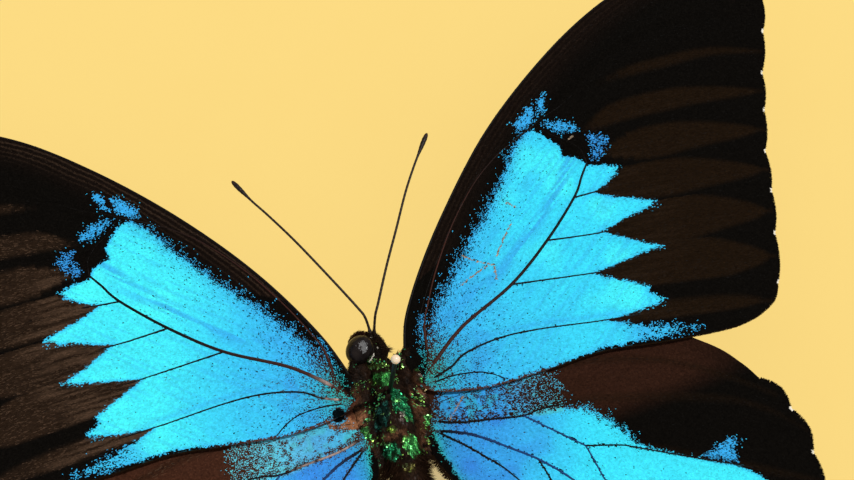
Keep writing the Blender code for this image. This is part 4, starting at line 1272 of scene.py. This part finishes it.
def body_skin():
    """The flesh: trunk, neck, head, and the pads and flaps at the roots of the wings."""
    parts = [trunk(), ball((0, 0, 0), HEAD_CORE, matrix=HEAD_FRAME), ball(*NECK)]
    for side in SIDES.values():
        parts += [ball(np.array(centre) * (side, 1, 1), *shape) for centre, *shape in PADS]
        centre, half = ANTENNA_BASE
        parts.append(ball(np.array(centre) * (side, 1, 1), half, matrix=HEAD_FRAME))
    return fused(parts)


def corner_normals(points, quads):
    """The unit normal at each point of a mesh of quads."""
    across = np.cross(points[quads[:, 2]] - points[quads[:, 0]], points[quads[:, 3]] - points[quads[:, 1]])
    normals = np.zeros_like(points)
    for corner in range(4):
        np.add.at(normals, quads[:, corner], across)
    return unit(normals)


def skin_roots(points, quads, normals, per_mm2, rng, want):
    """Places spread evenly over the skin, with their normals. want gives each spot's share of the density."""
    tris = np.vstack([quads[:, [0, 1, 2]], quads[:, [0, 2, 3]]])
    a, b, c = (points[tris[:, i]] for i in range(3))
    area = np.linalg.norm(np.cross(b - a, c - a), axis=1) / 2
    count = int(area.sum() * per_mm2)
    pick = np.searchsorted(np.cumsum(area), rng.random(count) * area.sum())
    u, v = rng.random((2, count))
    over = u + v > 1
    u[over], v[over] = 1 - u[over], 1 - v[over]
    share = np.stack([1 - u - v, u, v], axis=1)[:, :, None]
    places = (points[tris[pick]] * share).sum(axis=1)
    facing = unit((normals[tris[pick]] * share).sum(axis=1))
    kept = rng.random(count) < want(places, facing)
    return places[kept], facing[kept]


def unwrap(points):
    """The body's skin unrolled: round the trunk, and along it."""
    stations = np.array(TRUNK[::-1])
    middle = np.interp(points[:, 1], stations[:, 0], stations[:, 3])
    round_ = np.arctan2(points[:, 0], points[:, 2] - middle) / (2 * np.pi) + 0.5
    return np.column_stack([round_, (points[:, 1] + 32) / 41]) * (1 - 2 * BAKE_PATCH) + BAKE_PATCH


def in_patch(places, facing, corners, softness=0.12):
    depth, _ = depth_in(places[:, :2], corners)
    return smoothstep(-softness, softness, depth) * (facing[:, 2] > 0.1)


def in_patches(places, facing):
    """How densely the glittering scales stand."""
    return np.max([density * in_patch(places, facing, corners) for _, density, corners in PATCHES], axis=0)


def skin_tint(places, facing):
    """The body's colour: dark bronze, brown behind and below, green and teal under the glittering patches."""
    x, y, z = places.T
    blotch = cloud(np.column_stack([x * 1.3 + z, y]), 0.8, 71)
    tint = layered(BRONZE, (UMBER_FUR, 0.1 + 0.6 * blotch), (UMBER_FUR, smoothstep(-9, -12, y) * 0.6),
                   (UMBER_FUR, smoothstep(0.2, -0.8, facing[:, 2]) * 0.9))
    for share, corners in TAWNY_TUFTS:
        torn = smoothstep(0.25, 0.6, cloud(places, 0.5, 77))
        tint = mix(tint, TAWNY, share * torn * in_patch(places, facing, corners, 0.4))
    for colour, density, corners in PATCHES:
        tint = mix(tint, colour * 0.2, density * in_patch(places, facing, corners))
    return tint


def strands(name, roots, facing, lie, length, width, tint, bend):
    """Fur: each hair is a thin tapering strip in two steps that leans over the skin."""
    side = unit(np.cross(facing, lie))
    length, width = length[:, None], width[:, None]
    middle = roots + lie * length * 0.5 + facing * length * bend[:, None] * 0.38
    tip = roots + lie * length * 0.96 + facing * length * bend[:, None] * 0.5
    points = np.stack([roots - side * width / 2, roots + side * width / 2, middle + side * width * 0.4,
                       middle - side * width * 0.4, tip], axis=1)
    first = np.arange(len(roots))[:, None] * 5
    tints = np.stack([tint * 0.6, tint * 0.6, tint, tint, tint * 1.35], axis=1).reshape(-1, 3)
    patch = np.array([(0, 0), (1, 0), (0.9, 0.5), (0.1, 0.5), (0.5, 1)]) * BAKE_PATCH
    bake = (unwrap(roots)[:, None] + patch).reshape(-1, 2)
    faces = [first + (0, 1, 2, 3), first + (3, 2, 4)]
    dress(build(name, points.reshape(-1, 3), faces, FUR_LOOK, False, tints, bake=bake), "body_scales")


def flakes(name, roots, facing, lie, length, width, tint, tilt, rng, material=FUR_LOOK):
    """Broad scales that lie on the skin, each tilted its own way so that they glitter."""
    facing = unit(facing + rng.normal(0, tilt, facing.shape))
    side = unit(np.cross(facing, lie))
    lie = np.cross(side, facing)
    raised = roots + facing * 0.05
    length, width = length[:, None], width[:, None]
    points = np.stack([raised - side * width * 0.35, raised + side * width * 0.35,
                       raised + lie * length + side * width * 0.5 + facing * 0.03,
                       raised + lie * length - side * width * 0.5 + facing * 0.03], axis=1)
    patch = np.array([(0, 0), (1, 0), (1, 1), (0, 1)]) * BAKE_PATCH
    blades(name, points, tint, unwrap(roots)[:, None] + patch, material, "body_scales")


def groomed(places, facing, rng, spread):
    """How the fur lies: backwards along the trunk, outwards at the wing roots and up over the head."""
    x, y, _ = places.T
    count = len(places)
    lie = np.column_stack([0.12 * x, np.full(count, -1.0), np.zeros(count)])
    lie[:, 0] += np.sign(x) * smoothstep(2.0, 3.4, np.abs(x)) * 0.9
    collar = (y > 1.9) & (y < 3.6)
    lie[collar] = lie[collar] * (1, -0.5, 1)
    on_head = (y > 3.6) | ((x < 0.6) & (y > 3.3))
    centre = np.array(HEAD_CENTRE)
    lie[on_head] = unit(places[on_head] - centre) * 0.4 + (0.5, -0.5, 0.1)
    lie += rng.normal(0, spread, lie.shape)
    lie -= facing * (lie * facing).sum(axis=1)[:, None]
    return unit(lie)


def off_eyes(places):
    eyes = [placed([np.array(EYE_CENTRE) * (side, 1, 1)]) for side in SIDES.values()]
    return np.min([np.linalg.norm(places - eye, axis=1) for eye in eyes], axis=0) > EYE_CLEARANCE


def furry(places, facing):
    bare = in_patch(places, facing, BARE_SPOT)
    return (1 - bare) * (1 - 0.85 * in_patches(places, facing)) * off_eyes(places)


def glittering(places, facing):
    ragged = smoothstep(0.36, 0.64, cloud(places, 0.35, 3))
    strewn = STREWN * smoothstep(0.5, 0.8, cloud(places, 1.1, 13)) * (facing[:, 2] > 0.2)
    return np.maximum(in_patches(places, facing) * ragged, strewn * (places[:, 1] > -10))


def glitter_tint(roots, facing, rng):
    """Each glittering scale's colour: its patch's, with golden and bluish ones among them."""
    shares = [in_patch(roots, facing, corners) for _, _, corners in PATCHES]
    weight = sum(shares)
    tint = sum(colour * share[:, None] for (colour, _, _), share in zip(PATCHES, shares))
    tint /= np.maximum(weight, 1e-6)[:, None]
    lone = weight < 0.05
    tint[lone] = mix(EMERALD, LIME, rng.random(lone.sum()) ** 2)
    hue = cloud(roots, 0.6, 9)
    tint = layered(tint, (LIME, 0.35 * smoothstep(0.6, 0.9, hue)),
                   (DEEP_TEAL, 0.5 * smoothstep(0.45, 0.15, hue)))
    return tint * rng.lognormal(0.15, 0.45, len(roots))[:, None]


def make_fur(points, quads, normals, rng):
    roots, facing = skin_roots(points, quads, normals, FUR_DENSITY / SCALE_DRAFT ** 2, rng, furry)
    lie = groomed(roots, facing, rng, 0.25)
    y = roots[:, 1]
    count = len(roots)
    on_head, on_abdomen = y > HEAD_START, y < -10
    back = smoothstep(0.2, 0.8, facing[:, 2])
    length = np.where(on_abdomen, 0.55, 0.85 - 0.3 * back) * rng.uniform(0.6, 1.2, count)
    crown = facing @ np.array(HEAD_FRAME)[:3, 2]
    length[on_head] *= (0.62 + 0.75 * smoothstep(0.5, 0.85, crown))[on_head]
    flank = smoothstep(0.3, 0.8, np.abs(facing[:, 0])) * smoothstep(-7.5, -9.5, y)
    flank *= smoothstep(-19.0, -14.0, y) * (facing[:, 2] > -0.5)
    length *= 1 + np.where(roots[:, 0] < 0, 2.2, 1.3) * flank
    lie = unit(lie + np.column_stack([np.sign(facing[:, 0]) * flank, 0 * y, 0.35 * flank]))
    bend = np.where(on_abdomen, 0.22, 0.42 - 0.12 * back) * rng.uniform(0.6, 1.4, count)
    bend[on_head] = rng.uniform(0.5, 0.9, on_head.sum())
    tint = mix(skin_tint(roots, facing), UMBER_FUR * 0.7, smoothstep(0.05, 0.3, flank))
    tint = tint * rng.lognormal(0.1, 0.4, count)[:, None]
    strands("body_fur", roots, facing, lie, length, rng.uniform(0.05, 0.085, count), tint, bend)


def make_body():
    points, quads = body_skin()
    normals = corner_normals(points, quads)
    if (normals * (points - (0, 0, -1.6)))[np.abs(points[:, 1] + 5) < 2].sum() < 0:
        quads, normals = quads[:, ::-1], -normals
    x, y, z = points.T
    around = np.column_stack([1.3 * x + z, y])
    lumps = 0.3 * (cloud(around, 0.9, 88) - 0.5) + 0.14 * (cloud(around, 0.4, 89) - 0.5)
    lumps *= smoothstep(3.4, 2.9, y) * smoothstep(-10.0, -8.5, y)
    points = points + normals * lumps[:, None]
    normals = corner_normals(points, quads)
    skin = build("body_skin", points, [quads], CUTICLE_LOOK, True, skin_tint(points, normals))
    dress(skin, "body_scales", "head", "prothorax", "thorax", "abdomen")

    rng = np.random.default_rng(5)
    make_fur(points, quads, normals, rng)
    roots, facing = skin_roots(points, quads, normals, GLITTER_DENSITY / SCALE_DRAFT ** 2, rng, glittering)
    tint = glitter_tint(roots, facing, rng)
    lie = groomed(roots, facing, rng, 0.35)
    count = len(roots)
    flakes("body_glitter", roots, facing, lie, rng.uniform(0.2, 0.3, count), rng.uniform(0.13, 0.19, count),
           tint, 0.28, rng, GLITTER_LOOK)

    roots, facing = skin_roots(points, quads, normals, SKIN_SCALE_DENSITY, rng,
                               lambda places, facing: off_eyes(places))
    lie = groomed(roots, facing, rng, 0.3)
    count = len(roots)
    tint = skin_tint(roots, facing) * rng.lognormal(-0.1, 0.35, count)[:, None]
    flakes("body_scales", roots, facing, lie, rng.uniform(0.2, 0.32, count), rng.uniform(0.12, 0.2, count),
           tint, 0.16, rng)


def make_eyes(rng):
    """The eyes, and the white scales round their rims and on the brow."""
    whites = []
    for name, side in SIDES.items():
        place = Matrix.Translation(Vector(EYE_CENTRE) * Vector((side, 1, 1)))
        turn = place @ Matrix.Rotation(side * EYE_TURN, 4, "Z")
        points, faces = ball((0, 0, 0), EYE_HALF, 128, 96, HEAD_FRAME @ turn)
        dress(build("eye_" + name + "_facets", points, faces, EYE_LOOK), "eye", "eye_" + name)
        angle = rng.uniform(*ORBIT_ARC, ORBIT_SCALES)
        ring = np.column_stack([side * rng.uniform(1.05, 1.1, ORBIT_SCALES), 1.78 * np.cos(angle),
                                0.1 + 1.86 * np.sin(angle)])
        along = np.column_stack([np.zeros(ORBIT_SCALES), -np.sin(angle), np.cos(angle)])
        out = unit(ring)
        whites.append((ring + out * 0.03, out, along))
        for spot in ORBIT_SPOTS:
            ring = np.array(spot) * (side, 1, 1) + rng.normal(0, 0.045, (9, 3)) * (1, 1, 0.3)
            out = unit(ring / HEAD_HALF ** 2)
            on_head = np.sqrt(((ring / HEAD_CORE) ** 2).sum(axis=1))[:, None]
            whites.append((ring / on_head + out * 0.2, out, np.tile((0.0, -1.0, 0.0), (9, 1))))
    ring, out, along = (np.vstack(group) for group in zip(*whites))
    lie = turned(unit(along + rng.normal(0, 0.3, along.shape)))
    count = len(ring)
    tint = WHITE * rng.uniform(0.25, 0.8, (count, 1))
    flakes("orbit_scales", placed(ring), turned(out), lie, rng.uniform(0.12, 0.19, count),
           rng.uniform(0.06, 0.1, count), tint, 0.2, rng)


def make_crown(rng):
    """The upright fur between the eyes, and the tuft at the nape."""
    count = int(CROWN_HAIRS / SCALE_DRAFT ** 2)
    ring = np.column_stack([rng.uniform(0.15, 1.0, count), rng.uniform(-1.5, 1.35, count), np.zeros(count)])
    flat = (ring / HEAD_CORE) ** 2
    ring[:, 2] = HEAD_CORE[2] * np.sqrt(1 - flat[:, 0] - flat[:, 1])
    out = unit(ring / HEAD_CORE ** 2)
    lie = unit(out + (0.3, -0.15, 0.0) + rng.normal(0, 0.22, out.shape))
    facing = unit(np.cross(lie, np.cross(out + (0.9, 0.0, 0.0), lie)))
    tint = mix(BRONZE, UMBER_FUR, rng.random(count) * 0.9)
    strands("crown_fur", placed(ring), turned(facing), turned(lie), rng.uniform(0.5, 1.0, count),
            rng.uniform(0.05, 0.09, count), tint, rng.uniform(0.0, 0.3, count))
    count = TUFT_HAIRS
    roots = np.array(TUFT_ROOT) + rng.normal(0, 0.17, (count, 3))
    lie = unit(np.array((1.0, -0.12, 0.3)) + rng.normal(0, 0.2, (count, 3)))
    tint = mix(BRONZE, UMBER_FUR, rng.random(count))
    strands("nape_tuft", roots, unit(np.cross(lie, (0.0, 1.0, 0.0))), lie, rng.uniform(0.6, 1.35, count),
            rng.uniform(0.04, 0.06, count), tint, rng.uniform(-0.1, 0.2, count))


def make_mouth(rng):
    """The furry palps and the coiled tongue between them."""
    for name, side in SIDES.items():
        path = placed(smooth_line(np.array(PALP_PATH) * (side, 1, 1), 6))
        radii = 0.3 * np.sqrt(np.clip(1 - np.linspace(-0.75, 0.93, len(path)) ** 2, 0, 1))
        points, faces = tube(path, radii, 16)
        tint = np.tile(BRONZE, (len(points), 1))
        palp = build("palp_" + name + "_core", points, faces, CUTICLE_LOOK, True, tint)
        dress(palp, "body_scales", "palp_" + name)
        count = PALP_HAIRS
        which = rng.integers(0, len(points), count)
        roots = points[which] + rng.normal(0, 0.03, (count, 3))
        facing = unit(roots - path[which // 16])
        lie = unit(np.gradient(path, axis=0))[which // 16] + rng.normal(0, 0.25, (count, 3)) + facing * 0.25
        tint = mix(BRONZE, FOX, 0.7 * rng.random(count))
        strands("palp_" + name + "_fur", roots, facing, unit(lie), rng.uniform(0.25, 0.5, count),
                rng.uniform(0.04, 0.06, count), tint, rng.uniform(0.3, 0.7, count))
    t = np.linspace(0, 1, 90)
    angle = 2 * np.pi * COIL_TURNS * t
    reach = COIL_REACH[0] + (COIL_REACH[1] - COIL_REACH[0]) * t
    coil = np.column_stack([0.03 * np.sin(3 * angle), reach * np.cos(angle), reach * np.sin(angle)])
    coil = np.vstack([[(0.0, 1.5, -1.3)], coil + COIL_CENTRE])
    points, faces = tube(placed(coil), np.concatenate([[0.15], 0.12 - 0.06 * t]), 12)
    tint = mix(BRONZE, RUST * 0.5, np.repeat(np.concatenate([[0], t]), 12))
    dress(build("proboscis_coil", points, faces, CHITIN_LOOK, True, tint), "chitin", "proboscis")


def make_head_parts():
    rng = np.random.default_rng(23)
    make_eyes(rng)
    make_crown(rng)
    make_mouth(rng)


def make_antennae():
    for name, side in SIDES.items():
        root = placed([np.array(ANTENNA_ROOT) * (side, 1, 1)])
        line = smooth_line(np.vstack([root, ANTENNA_PATHS[name]]), 24)
        steps = run_along(line)
        t = np.linspace(0, 1, ANTENNA_JOINTS * 8 + 1)
        path = np.column_stack([np.interp(t * steps[-1], steps, axis) for axis in line.T])
        ring = np.abs(np.sin(np.pi * ANTENNA_JOINTS * t))
        club = smoothstep(0.86, 0.955, t) * (ANTENNA_CLUB - ANTENNA_SHAFT)
        taper = np.sqrt(np.clip(1 - (np.clip(t - 0.965, 0, None) / 0.036) ** 2, 0.01, 1))
        radii = (ANTENNA_SHAFT * (1.05 - 0.15 * t) + club) * taper * (0.9 + 0.1 * ring ** 0.5)
        radii[:10] *= np.linspace(1.7, 1.05, 10)
        points, faces = tube(path, radii, ANTENNA_SIDES, 0.85)
        tint = mix(*ANTENNA_TINTS, 0.5 * (1 - ring) + 0.6 * smoothstep(0.97, 1.0, t))
        tint = np.repeat(tint, ANTENNA_SIDES, axis=0)
        piece = build("antenna_" + name + "_rings", points, faces, CHITIN_LOOK, True, tint)
        dress(piece, "chitin", "antenna_" + name)


def make_legs():
    """Femur, shin and foot of each leg with its joints, spurs and claws."""
    rng = np.random.default_rng(41)
    for pair, (out, along, lift) in LEGS.items():
        for name, side in SIDES.items():
            path = smooth_line(np.array(LEG_PATH) + (out, along, lift), 14) * (side, 1, 1)
            t = np.linspace(0, 1, len(path))
            radii = np.interp(t, *LEG_WIDTHS)
            foot = t > FOOT_START
            along_foot = (t[foot] - FOOT_START) / (1 - FOOT_START)
            radii[foot] *= 0.85 + 0.3 * np.abs(np.sin(along_foot * FOOT_JOINTS * np.pi))
            parts = [tube(path, radii, 12)]
            heading = unit(path[-1] - path[-3])
            spur_root = path[int(len(path) * 0.62)]
            for turn in (-1, 1):
                claw = [(0, 0, 0), (turn * 0.14, -0.2, -0.02), (turn * 0.2, -0.42, -0.16)]
                parts.append(tube(path[-1] + np.array(claw), (0.05, 0.04, 0.012), 8))
                spur = [spur_root, spur_root + heading * 0.5 + (turn * 0.16, 0, -0.1)]
                parts.append(tube(np.array(spur), (0.045, 0.012), 8))
            for place in rng.integers(int(len(path) * 0.36), len(path) - 2, LEG_BRISTLES):
                bristle = heading * 0.12 + rng.normal(0, 0.12, 3)
                parts.append(tube(np.array([path[place], path[place] + bristle * 1.4]), (0.022, 0.006), 5))
            points, faces = join(parts)
            tint = mix(*LEG_TINTS, cloud(points[:, 1:], 0.5, 8))
            piece = build(f"leg_{pair}_{name}_joints", points, faces, CHITIN_LOOK, True, tint)
            dress(piece, "chitin", f"leg_{pair}_{name}")


def make_stand():
    """The pin and the block keep their solids and get a finish. The pin's head is a ball of nylon."""
    points, faces = ball(PIN_HEAD, (PIN_HEAD_RADIUS,) * 3, 48, 32)
    dress(build("pin_head_ball", points, faces, NYLON_LOOK), "pin_head", "stand_pin_head")
    for node, material, slot in (("stand_pin", STEEL_LOOK, "pin_steel"), ("stand_base", BLOCK_LOOK, "block")):
        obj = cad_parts[node]
        obj.data.materials.clear()
        obj.data.materials.append(material)


# ---- Stage ----
VIEW_DISTANCE = 267.6           # from the camera to its foot on the wing plane, along its axis
VIEW_SHIFT = (-4.913, -17.7)    # where the wing plane's middle sits across and up from the axis
TILT_BACK = math.radians(18.61)
TILT_SIDE = math.radians(9.24)
ROLL = math.radians(15.9)
LENS = 92.74
FLOOR_HALF = 15.0               # metres
PAPER_GLOW = 0.68               # the share of the paper's brightness that doesn't depend on the light
WINDOW_PLACE = (-0.0283, 0.0924, 0.3107)        # metres
WINDOW_SIZE = (0.26, 0.46)


def set_camera():
    data = bpy.data.cameras.new("camera")
    data.lens = LENS
    data.sensor_width = 36.0
    data.clip_start = 0.01
    camera = add_object("camera", data)
    tilt = Matrix.Rotation(-TILT_BACK, 4, "X") @ Matrix.Rotation(TILT_SIDE, 4, "Y")
    from_view = (Matrix.Rotation(ROLL, 4, "Z") @ tilt).transposed()
    place = from_view @ Vector((-VIEW_SHIFT[0], -VIEW_SHIFT[1], VIEW_DISTANCE))
    camera.matrix_world = Matrix.Translation(to_model(place)) @ from_view
    bpy.context.scene.camera = camera


def set_stage():
    scene = bpy.context.scene
    scene.view_settings.view_transform = "Standard"
    world = bpy.data.worlds.new("studio")
    world.use_nodes = True
    world.node_tree.nodes["Background"].inputs["Color"].default_value = (1.0, 0.98, 0.95, 1.0)
    world.node_tree.nodes["Background"].inputs["Strength"].default_value = 0.45
    scene.world = world
    colours = [srgb(250, 216, 128) * (1 - PAPER_GLOW), srgb(252, 221, 134) * (1 - PAPER_GLOW)]
    paper = mottled("floor_paper", colours, 40.0, (0.8, 0.9), Specular_IOR_Level=0.05,
                    Emission_Color=(*srgb(251, 218, 130), 1.0), Emission_Strength=PAPER_GLOW)
    mesh = bpy.data.meshes.new("floor")
    corners = [(x * FLOOR_HALF, y * FLOOR_HALF, 0) for x, y in ((-1, -1), (1, -1), (1, 1), (-1, 1))]
    mesh.from_pydata(corners, [], [(0, 1, 2, 3)])
    mesh.materials.append(paper)
    add_object("floor", mesh)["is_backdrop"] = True


def collected(name, objects):
    group = bpy.data.collections.new(name)
    for obj in objects:
        group.objects.link(obj)
    return group


def add_sun(name, towards, energy, angle, colour, receivers, blockers=None):
    """A sun that lights only the given objects, and where blockers are given, is shaded only by them."""
    light = bpy.data.lights.new(name, "SUN")
    light.energy = energy
    light.angle = math.radians(angle)
    light.color = colour
    lamp = add_object(name, light)
    lamp.rotation_euler = Vector(towards).to_track_quat("Z", "Y").to_euler()
    lamp.light_linking.receiver_collection = collected(name + "_lit", receivers)
    if blockers is not None:
        lamp.light_linking.blocker_collection = collected(name + "_shading", blockers)


def set_lights():
    """A key light for the specimen, a wide one for the floor and the block, and a window for the left eye."""
    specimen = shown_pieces()
    floor = [obj for obj in bpy.context.scene.objects if obj.type == "MESH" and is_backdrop(obj)]
    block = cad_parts["stand_base"]
    unblocked = [obj for obj in specimen if obj != block]
    add_sun("key", (0.41, 0.067, 1.0), 2.15, 3.0, (1.0, 0.985, 0.96), unblocked)
    add_sun("wide", (0.2, 0.1, 1.0), 2.0, 90.0, (1.0, 0.99, 0.97), [*floor, block], floor)
    window = bpy.data.lights.new("window", "AREA")
    window.shape = "RECTANGLE"
    window.size, window.size_y = WINDOW_SIZE
    window.energy = 8.0
    window.diffuse_factor = 0.0
    lamp = add_object("window", window)
    lamp.location = WINDOW_PLACE
    backwards = Vector(WINDOW_PLACE) - Vector(to_model((-2.0, 5.0, 0.5)))
    lamp.rotation_euler = backwards.to_track_quat("Z", "Y").to_euler()
    left_eye = [obj for obj in specimen if obj.name.startswith("eye_left")]
    lamp.light_linking.receiver_collection = collected("window_lit", left_eye)


set_stage()
set_camera()
make_wings()
make_body()
make_head_parts()
make_antennae()
make_legs()
make_stand()
set_lights()
